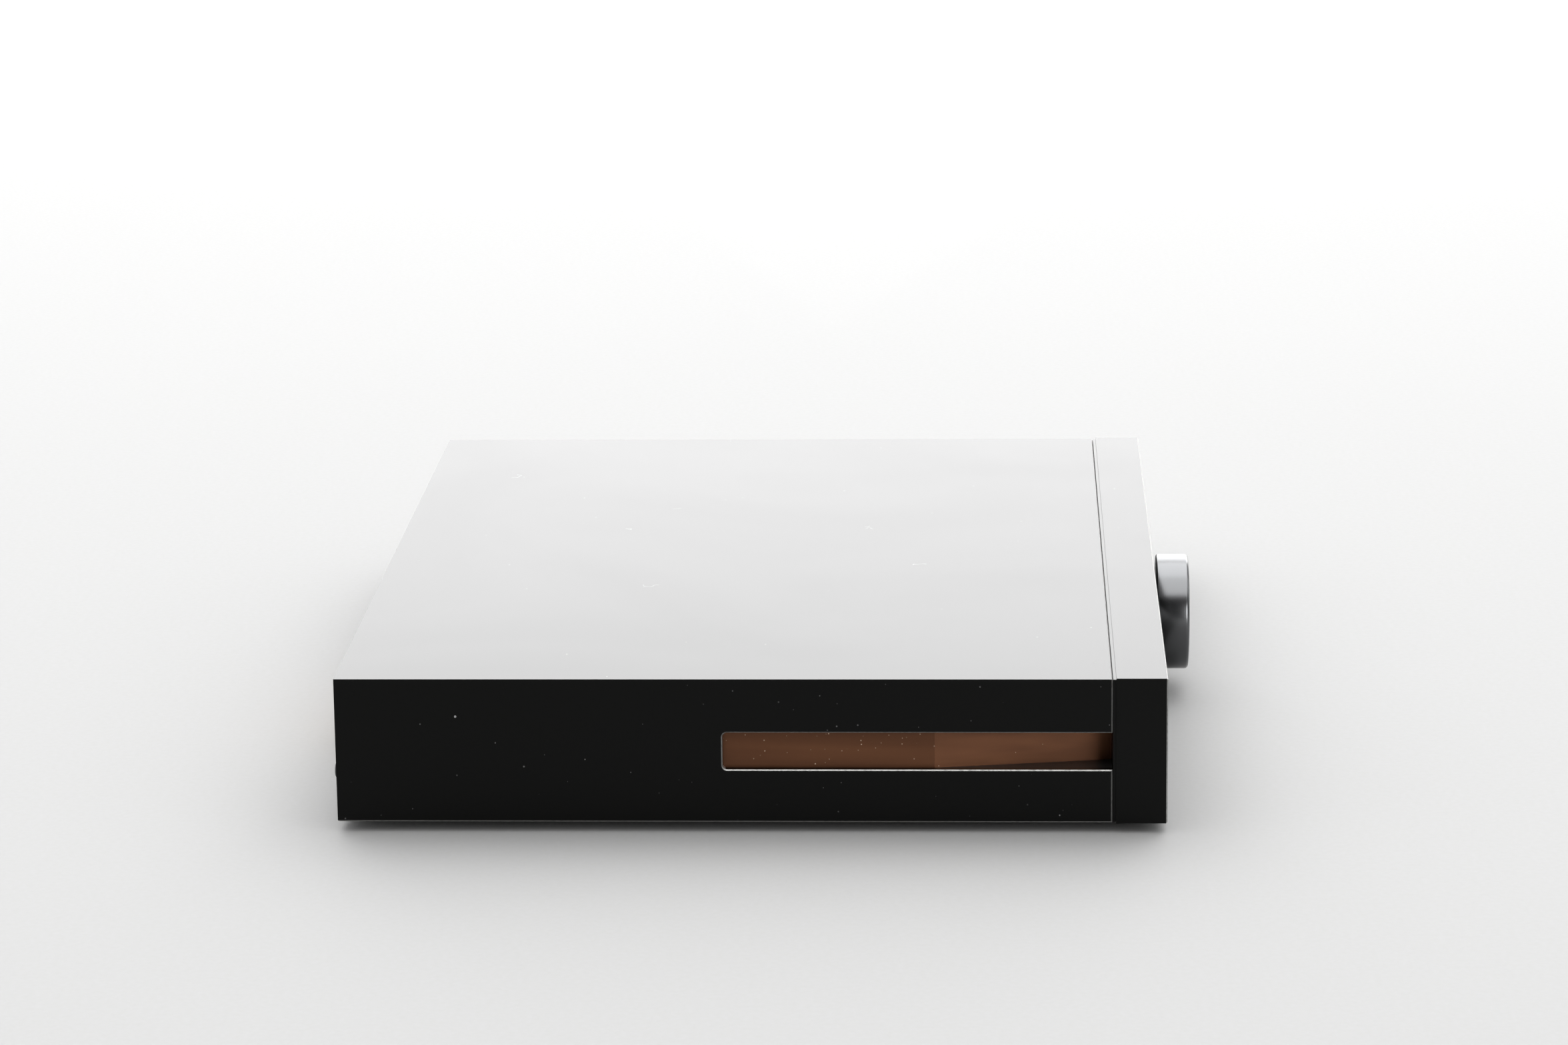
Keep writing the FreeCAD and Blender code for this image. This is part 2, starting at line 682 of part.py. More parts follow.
def drive_chassis():
    floor_z, wall_top = 9.5, 31.0
    outer = block(drive_left, drive_right, drive_front, drive_rear, floor_z, wall_top)
    inner = block(drive_left + sheet, drive_right - sheet, drive_front + sheet, drive_rear - sheet,
                  floor_z + sheet, wall_top + 1)
    tray = outer.cut(inner)
    wing = block(-146, drive_left + sheet, drive_front, drive_rear, 32.2, 33.0)
    web = block(drive_left, drive_left + sheet, drive_front, drive_rear, wall_top, 32.2)
    right = block(drive_right - sheet, drive_right, drive_front, drive_rear, wall_top, 33.0)
    tray = union([tray, wing, web, right])
    cuts = [rod_z(screw_hole, 8, 12, x, y) for x, y in damper_places()]
    cuts.append(rod_x(1.55, drive_left - 1, drive_right + 1, roller_y, roller_z))
    cuts.append(rod_x(1.1, drive_right - 2, drive_right + 1, motor_y, motor_z))
    tray = tray.cut(Part.makeCompound(cuts))
    posts = [rod_z(post_radius, floor_z + sheet - 0.1, 31, x, y) for x, y in post_places]
    return union([tray] + posts)


def drive_cover():
    plate = block(-146, -18, drive_front, drive_rear, cover_z, cover_z + sheet)
    left = block(-146, -146 + sheet, drive_front, drive_rear, 33.0, cover_z)
    right = block(drive_right, drive_right + sheet, drive_front, drive_rear, 33.1, cover_z)
    rear = block(-146, -18, drive_rear, drive_rear + sheet, 33.1, cover_z + sheet)
    emboss = rod_z(30, cover_z + sheet, cover_z + sheet + 0.6, disc_x, disc_y)
    return union([plate, left, right, rear, emboss])


def drive_dampers():
    parts = []
    for x, y in damper_places():
        rubber = rod_z(5, base_top, 9.5, x, y)
        parts.append(rubber.cut(rod_z(screw_hole, 0, 12, x, y)))
    return Part.makeCompound(parts)


def drive_screws():
    parts = []
    for x, y in damper_places():
        shank = rod_z(screw_shank, case_bottom + 0.3, 10.3, x, y)
        parts.append(shank.fuse(rod_z(2.7, 10.3, 12.0, x, y)))
    return Part.makeCompound(parts)


frame_box = (-116.0, -47.0, -58.0, 32.0)
frame_z = (24.0, 26.0)
rod_xs = (-95.0, -69.0)
rod_height = 21.8
screw_x = -59.0
screw_z = 17.8
sled_y = (-17.5, -0.5)


def traverse_frame():
    x0, x1, y0, y1 = frame_box
    z0, z1 = frame_z
    plate = block(x0, x1, y0, y1, z0, z1)
    plate = plate.cut(block(-101, -63, -18, 29, z0 - 1, z1 + 1))
    lugs = [block(x - 3, x + 3, y, y + 3, 19, z0) for x in rod_xs for y in (-21, 29)]
    lugs.append(block(screw_x - 3.5, screw_x + 3.5, 29, 32, 14.5, z0))
    lugs.append(block(screw_x - 6, screw_x + 6, -31, -29, 12.2, z0))
    frame = union([plate] + lugs)
    cuts = [rod_y(1.52, -22, 33, x, rod_height) for x in rod_xs]
    cuts.append(rod_y(1.55, -32, 33, screw_x, screw_z))
    cuts += [rod_z(post_radius + 0.35, z0 - 1, z1 + 1, x, y) for x, y in post_places]
    cuts.append(rod_z(2.0, z0 - 1, z1 + 1, disc_x, disc_y))
    return frame.cut(Part.makeCompound(cuts))


def spindle_motor():
    body = rod_z(10.5, 15.5, frame_z[0], disc_x, disc_y)
    return body.cut(rod_z(1.05, 17, 30, disc_x, disc_y))


def turntable():
    plate = rod_z(14, 28.3, 30.8, disc_x, disc_y)
    hub = rod_z(7.35, 30.8, 32.8, disc_x, disc_y)
    hub = hub.makeChamfer(0.9, [e for e in hub.Edges if near(e.BoundBox.ZMin, 32.8)])
    return union([rod_z(1.0, 17.5, 28.3, disc_x, disc_y), plate, hub])


def guide_rods():
    return Part.makeCompound([rod_y(1.5, -21, 32, x, rod_height) for x in rod_xs])


def pickup_sled():
    y0, y1 = sled_y
    body = block(-99, -65, y0, y1, 18, 25.5)
    arm = block(-65, screw_x - 1.6, y0 + 5, y1 - 5, 16.5, 19.5)
    tower = block(-89, -75, y0 + 2, y1 - 2, 25.5, 27)
    body = union([body, arm, tower])
    return body.cut(Part.makeCompound([rod_y(1.55, y0 - 1, y1 + 1, x, rod_height) for x in rod_xs]))


def lens():
    y = (sled_y[0] + sled_y[1]) / 2
    holder = block(disc_x - 4.5, disc_x + 4.5, y - 5, y + 5, 27.6, 29.0)
    dome = rod_z(2.2, 29.0, 29.5, disc_x, y)
    return holder.fuse(dome.makeFillet(0.4, [e for e in dome.Edges if near(e.BoundBox.ZMin, 29.5)]))


def lead_screw():
    screw = rod_y(1.2, -30.9, 31.5, screw_x, screw_z)
    collars = [rod_y(1.5, y, y + 1.0, screw_x, screw_z) for y in range(-28, 29, 2)]
    journals = [rod_y(1.5, -30.9, -28.9, screw_x, screw_z), rod_y(1.5, 29, 31.5, screw_x, screw_z)]
    return union([screw] + collars + journals)


def sled_motor():
    return rod_y(5.4, -50, -31, screw_x, screw_z)


def gear(x0, x1, y, z, teeth, turn):
    """Spur gear along X with straight-sided teeth, a tooth centred on the angle given."""
    pitch_radius = gear_module * teeth / 2
    root = pitch_radius - 0.8 * gear_module
    tip = pitch_radius + 0.75 * gear_module
    pitch = 2 * math.pi / teeth
    points = []
    for tooth in range(teeth):
        middle = turn + tooth * pitch
        for radius, offset in ((root, -0.27), (tip, -0.1), (tip, 0.1), (root, 0.27)):
            angle = middle + offset * pitch
            points.append((y + radius * math.cos(angle), z + radius * math.sin(angle)))
    return prism_x(points, x0, x1)


def load_gear():
    """Gear on the roller's steel shaft."""
    wheel = gear(gear_x[0], gear_x[1], roller_y, roller_z, gear_teeth, pinion_angle)
    shaft = rod_x(1.5, drive_left - 0.4, gear_x[1] + 0.4, roller_y, roller_z)
    return wheel.fuse(shaft)


def load_roller():
    parts = []
    for x0, x1 in ((-128, -88), (-76, -36)):
        sleeve = rod_x(roller_radius, x0, x1, roller_y, roller_z)
        parts.append(sleeve.cut(rod_x(1.52, x0 - 1, x1 + 1, roller_y, roller_z)))
    return Part.makeCompound(parts)


def load_pinion():
    half_pitch = math.pi / pinion_teeth
    wheel = gear(gear_x[0], gear_x[1], motor_y, motor_z, pinion_teeth, pinion_angle + math.pi + half_pitch)
    return wheel.fuse(rod_x(0.8, -24, gear_x[1], motor_y, motor_z))


def load_motor():
    body = rod_x(5.4, -42, drive_right - sheet - 0.1, motor_y, motor_z)
    return body.cut(rod_x(0.85, -25, drive_right, motor_y, motor_z))


nodes = {
    "top_cover": top_cover,
    "base_plate": base_plate,
    "rear_panel": rear_panel,
    "front_panel": front_panel,
    "left_inlay": inlay,
    "right_inlay": lambda: mirrored(inlay()),
    "left_inlay_carrier": inlay_carrier,
    "right_inlay_carrier": lambda: mirrored(inlay_carrier()),
    "case_screws": case_screws,
    "rear_screws": rear_screws,
    "display_window": display_window,
    "display_module": display_module,
    "slot_felts": slot_felts,
    "control_board": control_board,
    "encoder_body": encoder_body,
    "encoder_nut": encoder_nut,
    "encoder_shaft": encoder_shaft,
    "encoder_plunger": encoder_plunger,
    "knob": knob,
    "knob_grub_screw": knob_grub_screw,
    "rca_barrels": rca_barrels,
    "rca_bodies": rca_bodies,
    "xlr_sockets": xlr_sockets,
    "contact_pins": contact_pins,
    "optical_socket": optical_socket,
    "optical_shutter": optical_shutter,
    "mains_inlet": mains_inlet,
    "fuse_drawer": fuse_drawer,
    "fuse": fuse,
    "rocker_housing": rocker_housing,
    "power_rocker": power_rocker,
    "main_board": lambda: circuit_board(main_board_box),
    "power_board": lambda: circuit_board(power_board_box),
    "standoffs": standoffs,
    "audio_chips": audio_chips,
    "audio_capacitors": audio_capacitors,
    "power_capacitors": power_capacitors,
    "heatsink": heatsink,
    "ribbon_cables": ribbon_cables,
    "transformer": transformer,
    "transformer_clamp": transformer_clamp,
    "drive_chassis": drive_chassis,
    "drive_cover": drive_cover,
    "drive_dampers": drive_dampers,
    "drive_screws": drive_screws,
    "traverse_frame": traverse_frame,
    "spindle_motor": spindle_motor,
    "turntable": turntable,
    "guide_rods": guide_rods,
    "pickup_sled": pickup_sled,
    "lens": lens,
    "lead_screw": lead_screw,
    "sled_motor": sled_motor,
    "load_gear": load_gear,
    "load_roller": load_roller,
    "load_pinion": load_pinion,
    "load_motor": load_motor,
}

os.makedirs("parts", exist_ok=True)
for name, make in nodes.items():
    save(name, make())
for name, x in button_xs.items():
    save(name, button(x))
save("feet", Part.makeCompound([foot(x, y) for x in (-foot_x, foot_x) for y in foot_ys.values()]))
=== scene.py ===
import bmesh
import bpy
import json
import math
from mathutils import Matrix, Vector


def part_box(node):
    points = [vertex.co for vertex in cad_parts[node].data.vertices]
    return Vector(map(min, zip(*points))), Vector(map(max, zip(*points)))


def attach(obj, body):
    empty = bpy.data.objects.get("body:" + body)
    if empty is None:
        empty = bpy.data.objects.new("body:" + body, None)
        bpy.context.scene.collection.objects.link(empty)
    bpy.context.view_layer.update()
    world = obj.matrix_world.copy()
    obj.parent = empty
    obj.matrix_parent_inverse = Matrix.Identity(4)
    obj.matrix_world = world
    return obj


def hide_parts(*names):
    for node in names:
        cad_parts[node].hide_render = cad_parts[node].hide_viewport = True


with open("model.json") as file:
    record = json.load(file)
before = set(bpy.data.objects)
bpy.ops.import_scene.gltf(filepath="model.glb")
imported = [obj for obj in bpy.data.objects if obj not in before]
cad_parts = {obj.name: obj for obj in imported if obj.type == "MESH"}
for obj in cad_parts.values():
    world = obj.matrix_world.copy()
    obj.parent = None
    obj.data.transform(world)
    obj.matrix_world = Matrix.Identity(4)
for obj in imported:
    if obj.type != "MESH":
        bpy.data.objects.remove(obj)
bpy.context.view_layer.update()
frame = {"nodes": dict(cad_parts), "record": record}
print("loaded", len(frame["nodes"]), "pieces of the frame")

mm = 0.001  # sizes of the pieces are in millimetres, the frame is in metres
weldReach = 1e-6  # points nearer to each other than this are one, in metres


def setInput(tree, socket, value):
    # links another node's output, or sets a plain value
    if isinstance(value, bpy.types.NodeSocket):
        tree.links.new(value, socket)
    else:
        socket.default_value = value


def addNode(tree, kind, inputs=None, **settings):
    made = tree.nodes.new("ShaderNode" + kind)
    for name, value in settings.items():
        setattr(made, name, value)
    for name, value in (inputs or {}).items():
        setInput(tree, made.inputs[name], value)
    return made


def addMath(tree, operation, first, second=0.0, clamp=False):
    return addNode(tree, "Math", {0: first, 1: second}, operation=operation, use_clamp=clamp).outputs[0]


def addNoise(tree, place, scale, detail, distortion=0.0):
    inputs = {"Vector": place, "Scale": scale, "Detail": detail, "Distortion": distortion}
    return addNode(tree, "TexNoise", inputs).outputs[0]


def spread(tree, value, low, high, outLow=0.0, outHigh=1.0):
    # maps low..high onto outLow..outHigh and holds it there
    return addNode(tree, "MapRange", {0: value, 1: low, 2: high, 3: outLow, 4: outHigh}).outputs[0]


def between(tree, mask, bare, full):
    # bare where the mask is 0, full where it is 1
    return spread(tree, mask, 0.0, 1.0, bare, full)


def mixColour(tree, share, first, second):
    made = addNode(tree, "Mix", data_type="RGBA")
    for place, value in ((0, share), (6, first), (7, second)):  # factor and both colour inputs
        setInput(tree, made.inputs[place], value)
    return made.outputs[2]


def shade(colour, factor):
    return tuple(min(1.0, factor * part) for part in colour[:3]) + (1.0,)


def grey(level):
    return (level, level, level, 1.0)


def objectPlace(tree):
    return addNode(tree, "TexCoord").outputs["Object"]


def newGroup(name, inputs, outputs):
    tree = bpy.data.node_groups.new(name, "ShaderNodeTree")
    for label, start in inputs.items():
        kind = "NodeSocketVector" if isinstance(start, tuple) else "NodeSocketFloat"
        tree.interface.new_socket(label, in_out="INPUT", socket_type=kind).default_value = start
    for label in outputs:
        tree.interface.new_socket(label, in_out="OUTPUT", socket_type="NodeSocketFloat")
    return tree, tree.nodes.new("NodeGroupInput").outputs, tree.nodes.new("NodeGroupOutput").inputs


def useGroup(tree, group, **values):
    made = tree.nodes.new("ShaderNodeGroup")
    made.node_tree = group
    for name, value in values.items():
        made.inputs[name].default_value = value
    return made.outputs


# shared effects, each a group that several finishes use
grainShape = {"detail": 3.0, "broadShare": 0.06, "broadDetail": 2.0, "toneLow": 0.3, "toneHigh": 0.7}
marksShape = {"detail": 5.0, "distortion": 1.2, "low": 0.42, "high": 0.72}
dustShape = {"smallest": 0.35, "faintest": 0.2}
lintShape = {"reach": 0.12, "curl": 260.0, "detail": 1.0, "middle": 0.5, "edge": 0.012, "core": 0.004}
cutEdgeAndHighlightShape = {"flat": 0.95, "turned": 0.85, "speckle": 900.0, "detail": 4.0, "wornLow": 0.45, "wornHigh": 0.7}


def makeGrain():
    # fine pitted surface, as blasted aluminium or moulded plastic has
    shape = grainShape
    tree, given, out = newGroup("grain", {"scale": 4000.0, "stretch": (1.0, 1.0, 1.0)}, ["height", "tone"])
    stretched = {0: objectPlace(tree), 1: given["stretch"]}
    place = addNode(tree, "VectorMath", stretched, operation="MULTIPLY").outputs[0]
    fine = addNoise(tree, place, given["scale"], shape["detail"])
    broadScale = addMath(tree, "MULTIPLY", given["scale"], shape["broadShare"])
    broad = addNoise(tree, place, broadScale, shape["broadDetail"])
    tree.links.new(fine, out["height"])
    tree.links.new(spread(tree, broad, shape["toneLow"], shape["toneHigh"]), out["tone"])
    return tree


def makeMarks():
    # wide faint patches where a cloth or a hand has passed
    shape = marksShape
    tree, given, out = newGroup("marks", {"scale": 9.0}, ["amount"])
    cloud = addNoise(tree, objectPlace(tree), given["scale"], shape["detail"], shape["distortion"])
    tree.links.new(spread(tree, cloud, shape["low"], shape["high"]), out["amount"])
    return tree


def addCells(tree, place, given):
    # random cells: how far from the cell's middle, whether it is chosen, and its own three numbers
    inputs = {"Vector": place, "Scale": given["cells"], "Randomness": 1.0}
    cells = addNode(tree, "TexVoronoi", inputs).outputs
    parts = addNode(tree, "SeparateColor", {0: cells["Color"]}).outputs
    return cells["Distance"], addMath(tree, "LESS_THAN", parts[0], given["share"]), parts


def makeDust():
    # scattered specks of dust: small spots in a few of the cells, each of its own size
    shape = dustShape
    tree, given, out = newGroup("dust", {"cells": 150.0, "share": 0.1, "size": 0.05}, ["amount"])
    distance, chosen, parts = addCells(tree, objectPlace(tree), given)
    radius = addMath(tree, "MULTIPLY", given["size"], addMath(tree, "ADD", parts[1], shape["smallest"]))
    spot = addMath(tree, "MULTIPLY", addMath(tree, "LESS_THAN", distance, radius), chosen)
    strength = addMath(tree, "ADD", parts[2], shape["faintest"])
    tree.links.new(addMath(tree, "MULTIPLY", spot, strength), out["amount"])
    return tree


def makeLint():
    # short curled fibres: thin contour lines of a noise, kept inside a few of the cells
    shape = lintShape
    tree, given, out = newGroup("lint", {"cells": 30.0, "share": 0.1}, ["amount"])
    place = objectPlace(tree)
    distance, chosen = addCells(tree, place, given)[:2]
    inside = addMath(tree, "MULTIPLY", chosen, addMath(tree, "LESS_THAN", distance, shape["reach"]))
    curl = addNoise(tree, place, shape["curl"], shape["detail"])
    offset = addMath(tree, "ABSOLUTE", addMath(tree, "SUBTRACT", curl, shape["middle"]))
    line = spread(tree, offset, shape["edge"], shape["core"])
    tree.links.new(addMath(tree, "MULTIPLY", line, inside), out["amount"])
    return tree


def makeCutEdgesAndHighlights():
    # 1 on the narrow bevels of a squared piece, where the cutter leaves the metal brighter; the pale bevel
    # colour is also a painted highlight along the edges
    shape = cutEdgeAndHighlightShape
    tree, given, out = newGroup("cutEdgesAndHighlights", {"wear": 0.3}, ["amount"])
    coords = addNode(tree, "TexCoord").outputs
    flat = addNode(tree, "VectorMath", {0: coords["Normal"]}, operation="ABSOLUTE").outputs[0]
    sides = addNode(tree, "SeparateXYZ", {0: flat}).outputs
    widest = addMath(tree, "MAXIMUM", addMath(tree, "MAXIMUM", sides[0], sides[1]), sides[2])
    bevel = spread(tree, widest, shape["flat"], shape["turned"])
    speckle = addNoise(tree, coords["Object"], shape["speckle"], shape["detail"])
    rubbed = spread(tree, speckle, shape["wornLow"], shape["wornHigh"])
    kept = addMath(tree, "SUBTRACT", 1.0, addMath(tree, "MULTIPLY", rubbed, given["wear"]))
    tree.links.new(addMath(tree, "MULTIPLY", bevel, kept), out["amount"])
    return tree


def makeRings():
    # turning marks: rings about an axis that runs along Y
    tree, given, out = newGroup("rings", {"centre": (0.0, 0.0, 0.0), "pitch": 0.0002}, ["height"])
    fromCentre = {0: objectPlace(tree), 1: given["centre"]}
    arm = addNode(tree, "VectorMath", fromCentre, operation="SUBTRACT").outputs[0]
    parts = addNode(tree, "SeparateXYZ", {0: arm}).outputs
    flatArm = addNode(tree, "CombineXYZ", {0: parts[0], 2: parts[2]}).outputs[0]
    reach = addNode(tree, "VectorMath", {0: flatArm}, operation="LENGTH").outputs["Value"]
    angle = addMath(tree, "MULTIPLY", addMath(tree, "DIVIDE", reach, given["pitch"]), 2 * math.pi)
    tree.links.new(addMath(tree, "SINE", angle), out["height"])
    return tree


grain, marks, dust, lint, cutEdgesAndHighlights, rings = (make() for make in (
    makeGrain, makeMarks, makeDust, makeLint, makeCutEdgesAndHighlights, makeRings))
print("made the shared effects")


def startMaterial(name):
    made = bpy.data.materials.new(name)
    made.use_nodes = True
    tree = made.node_tree
    return made, tree, tree.nodes["Principled BSDF"]


surfaceInputs = {"base": "Base Color", "rough": "Roughness", "metal": "Metallic", "normal": "Normal",
                 "glow": "Emission Color"}


def feed(tree, surface, **values):
    for name, value in values.items():
        setInput(tree, surface.inputs[surfaceInputs[name]], value)


def bumpOf(tree, height, strength, depth):
    return addNode(tree, "Bump", {"Strength": strength, "Distance": depth, "Height": height}).outputs[0]


# bead-blasted black aluminium with dust on it, and a painted highlight on its cut edges
anodisedLook = {
    "colour": (0.0024, 0.0025, 0.0022, 1.0), "rough": 0.30, "gloss": 0.11,
    "edgeMetalAndHighlightColour": (0.30, 0.30, 0.29, 1.0), "edgeMetal": 0.45, "edgeWear": 0.35,
    "grainScale": 5200.0, "bump": 0.35, "depth": 0.00002,
    "handScale": 8.0, "handRough": (-0.005, 0.007),
    "dustColour": grey(0.42), "dustRough": 0.4,
    "specks": {"cells": 120.0, "share": 0.20, "size": 0.036}, "speckStrength": 0.8,
    "powder": {"cells": 380.0, "share": 0.06, "size": 0.070}, "powderStrength": 0.35,
    "fibres": {"cells": 42.0, "share": 0.16}, "fibreStrength": 0.5,
}
turnedLook = {"colour": (0.11, 0.112, 0.115, 1.0), "rough": 0.24, "ringPitch": 0.00025, "ringBump": 0.35}


def anodised(name, centre=None):
    # turned on a lathe about the centre if one is given, else squared with cut edges that carry a painted
    # highlight
    made, tree, surface = startMaterial(name)
    look = anodisedLook
    own = turnedLook if centre else anodisedLook
    height = useGroup(tree, grain, scale=look["grainScale"])["height"]
    hand = useGroup(tree, marks, scale=look["handScale"])["amount"]
    specks = useGroup(tree, dust, **look["specks"])["amount"]
    powder = useGroup(tree, dust, **look["powder"])["amount"]
    fibres = useGroup(tree, lint, **look["fibres"])["amount"]
    soil = addMath(tree, "MULTIPLY", specks, look["speckStrength"])
    for flecks, strength in ((fibres, look["fibreStrength"]), (powder, look["powderStrength"])):
        soil = addMath(tree, "MAXIMUM", soil, addMath(tree, "MULTIPLY", flecks, strength))
    base = mixColour(tree, soil, own["colour"], look["dustColour"])
    smoothest, roughest = look["handRough"]
    level = between(tree, hand, own["rough"] + smoothest, own["rough"] + roughest)
    level = addMath(tree, "ADD", level, between(tree, specks, 0.0, look["dustRough"]), clamp=True)
    if centre:
        feed(tree, surface, metal=between(tree, soil, 1.0, 0.0))
        ringHeight = useGroup(tree, rings, centre=centre, pitch=own["ringPitch"])["height"]
        height = addMath(tree, "ADD", height, addMath(tree, "MULTIPLY", ringHeight, own["ringBump"]))
    else:
        # the bevels show bare cut metal, and their pale, partly non-metallic colour is also a painted
        # highlight along every edge
        bevel = useGroup(tree, cutEdgesAndHighlights, wear=look["edgeWear"])["amount"]
        base = mixColour(tree, bevel, base, look["edgeMetalAndHighlightColour"])
        feed(tree, surface, metal=addMath(tree, "MULTIPLY", bevel, look["edgeMetal"]))
    feed(tree, surface, base=base, rough=level, normal=bumpOf(tree, height, look["bump"], look["depth"]))
    surface.inputs["Specular IOR Level"].default_value = look["gloss"]
    return made


# brushed copper-brown aluminium of the side strips
copperLook = {
    "dark": (0.074, 0.027, 0.0102, 1.0), "light": (0.147, 0.058, 0.024, 1.0), "metal": 0.7,
    "rough": 0.40, "roughSpread": 0.08, "handScale": 30.0,
    "brush": (1.0, 0.04, 1.0), "brushScale": 2600.0, "bump": 0.3, "depth": 0.00002,
    "specks": {"cells": 560.0, "share": 0.40, "size": 0.085}, "speckStrength": 0.8,
    "speckColour": (0.62, 0.46, 0.34, 1.0),
}


def copperAnodised():
    made, tree, surface = startMaterial("copperAnodised")
    look = copperLook
    lines = useGroup(tree, grain, scale=look["brushScale"], stretch=look["brush"])
    hand = useGroup(tree, marks, scale=look["handScale"])["amount"]
    specks = useGroup(tree, dust, **look["specks"])["amount"]
    base = mixColour(tree, lines["tone"], look["dark"], look["light"])
    soil = addMath(tree, "MULTIPLY", specks, look["speckStrength"])
    base = mixColour(tree, soil, base, look["speckColour"])
    level = between(tree, hand, look["rough"], look["rough"] + look["roughSpread"])
    feed(tree, surface, base=base, rough=level, metal=look["metal"],
         normal=bumpOf(tree, lines["height"], look["bump"], look["depth"]))
    return made


powderLook = {"scale": 900.0, "dark": grey(0.011), "light": grey(0.018), "rough": (0.5, 0.62), "bump": 0.6,
              "depth": 0.00008}


def powderCoat():
    made, tree, surface = startMaterial("powderCoat")
    look = powderLook
    peel = useGroup(tree, grain, scale=look["scale"])
    feed(tree, surface, base=mixColour(tree, peel["tone"], look["dark"], look["light"]),
         rough=between(tree, peel["tone"], *look["rough"]),
         normal=bumpOf(tree, peel["height"], look["bump"], look["depth"]))
    return made


metalLook = {"darker": 0.82, "handScale": 25.0, "roughSpread": 0.12, "bump": 0.3, "depth": 0.00002}


def metal(name, colour, rough, scale):
    made, tree, surface = startMaterial(name)
    look = metalLook
    pits = useGroup(tree, grain, scale=scale)
    hand = useGroup(tree, marks, scale=look["handScale"])["amount"]
    feed(tree, surface, base=mixColour(tree, pits["tone"], shade(colour, look["darker"]), colour),
         rough=between(tree, hand, rough, rough + look["roughSpread"]), metal=1.0,
         normal=bumpOf(tree, pits["height"], look["bump"], look["depth"]))
    return made


plasticLook = {"lighter": 1.18, "roughSpread": 0.08, "bump": 0.4, "speckColour": grey(0.45),
               "specks": {"cells": 200.0, "share": 0.06, "size": 0.05}, "speckStrength": 0.5}


def plastic(name, colour, rough, scale=2500.0, depth=0.00004, coat=0.0):
    made, tree, surface = startMaterial(name)
    look = plasticLook
    pits = useGroup(tree, grain, scale=scale)
    specks = useGroup(tree, dust, **look["specks"])["amount"]
    base = mixColour(tree, pits["tone"], colour, shade(colour, look["lighter"]))
    soil = addMath(tree, "MULTIPLY", specks, look["speckStrength"])
    base = mixColour(tree, soil, base, look["speckColour"])
    feed(tree, surface, base=base, rough=between(tree, pits["tone"], rough, rough + look["roughSpread"]),
         normal=bumpOf(tree, pits["height"], look["bump"], depth))
    surface.inputs["Coat Weight"].default_value = coat
    return made


windowLook = {"colour": (0.22, 0.22, 0.235, 1.0), "speckColour": grey(0.6), "rough": (0.02, 0.06),
              "handScale": 40.0, "specks": {"cells": 220.0, "share": 0.10, "size": 0.05},
              "transmission": 0.92, "ior": 1.2, "coat": 0.25}


def smokedWindow():
    made, tree, surface = startMaterial("smokedWindow")
    look = windowLook
    hand = useGroup(tree, marks, scale=look["handScale"])["amount"]
    specks = useGroup(tree, dust, **look["specks"])["amount"]
    feed(tree, surface, base=mixColour(tree, specks, look["colour"], look["speckColour"]),
         rough=between(tree, hand, *look["rough"]))
    surface.inputs["Transmission Weight"].default_value = look["transmission"]
    surface.inputs["IOR"].default_value = look["ior"]
    surface.inputs["Coat Weight"].default_value = look["coat"]
    return made


lightLook = {"colour": (0.62, 0.80, 1.0, 1.0), "strength": 4.0, "dimmer": 0.7, "cloudScale": 180.0,
             "body": grey(0.1), "rough": 0.5}


def displayLight():
    # lit bars of the display, a little uneven from one to the next
    made, tree, surface = startMaterial("displayLight")
    look = lightLook
    cloud = useGroup(tree, marks, scale=look["cloudScale"])["amount"]
    light = mixColour(tree, cloud, look["colour"], shade(look["colour"], look["dimmer"]))
    feed(tree, surface, base=look["body"], rough=look["rough"], glow=light)
    surface.inputs["Emission Strength"].default_value = look["strength"]
    return made


boardLook = {
    "mask": (0.006, 0.040, 0.020, 1.0), "track": (0.014, 0.085, 0.040, 1.0), "pad": (0.72, 0.70, 0.62, 1.0),
    "tracks": {"Scale": 150.0, "Mortar Size": 0.09, "Mortar Smooth": 0.1, "Color1": grey(0.0),
               "Color2": grey(0.35), "Mortar": grey(1.0)},
    "pads": {"cells": 320.0, "share": 0.35, "size": 0.16},
    "rough": (0.32, 0.22), "bump": 0.4, "depth": 0.00003,
}


def circuitBoard():
    made, tree, surface = startMaterial("circuitBoard")
    look = boardLook
    tracks = addNode(tree, "TexBrick", {"Vector": objectPlace(tree), **look["tracks"]}).outputs
    pads = useGroup(tree, dust, **look["pads"])["amount"]
    base = mixColour(tree, tracks[0], look["mask"], look["track"])
    feed(tree, surface, base=mixColour(tree, pads, base, look["pad"]), metal=pads,
         rough=between(tree, pads, *look["rough"]),
         normal=bumpOf(tree, tracks["Fac"], look["bump"], look["depth"]))
    return made


lensLook = {"colour": (0.82, 0.88, 1.0, 1.0), "handScale": 60.0, "rough": (0.02, 0.06), "transmission": 0.85}


def clearLens():
    made, tree, surface = startMaterial("clearLens")
    look = lensLook
    hand = useGroup(tree, marks, scale=look["handScale"])["amount"]
    feed(tree, surface, base=look["colour"], rough=between(tree, hand, *look["rough"]))
    surface.inputs["Transmission Weight"].default_value = look["transmission"]
    return made


feltLook = {"scale": 3800.0, "dark": grey(0.006), "light": grey(0.016), "rough": 1.0, "bump": 0.9,
            "depth": 0.0002, "sheen": 0.4}


def felt():
    made, tree, surface = startMaterial("felt")
    look = feltLook
    nap = useGroup(tree, grain, scale=look["scale"])
    feed(tree, surface, base=mixColour(tree, nap["tone"], look["dark"], look["light"]), rough=look["rough"],
         normal=bumpOf(tree, nap["height"], look["bump"], look["depth"]))
    surface.inputs["Sheen Weight"].default_value = look["sheen"]
    return made


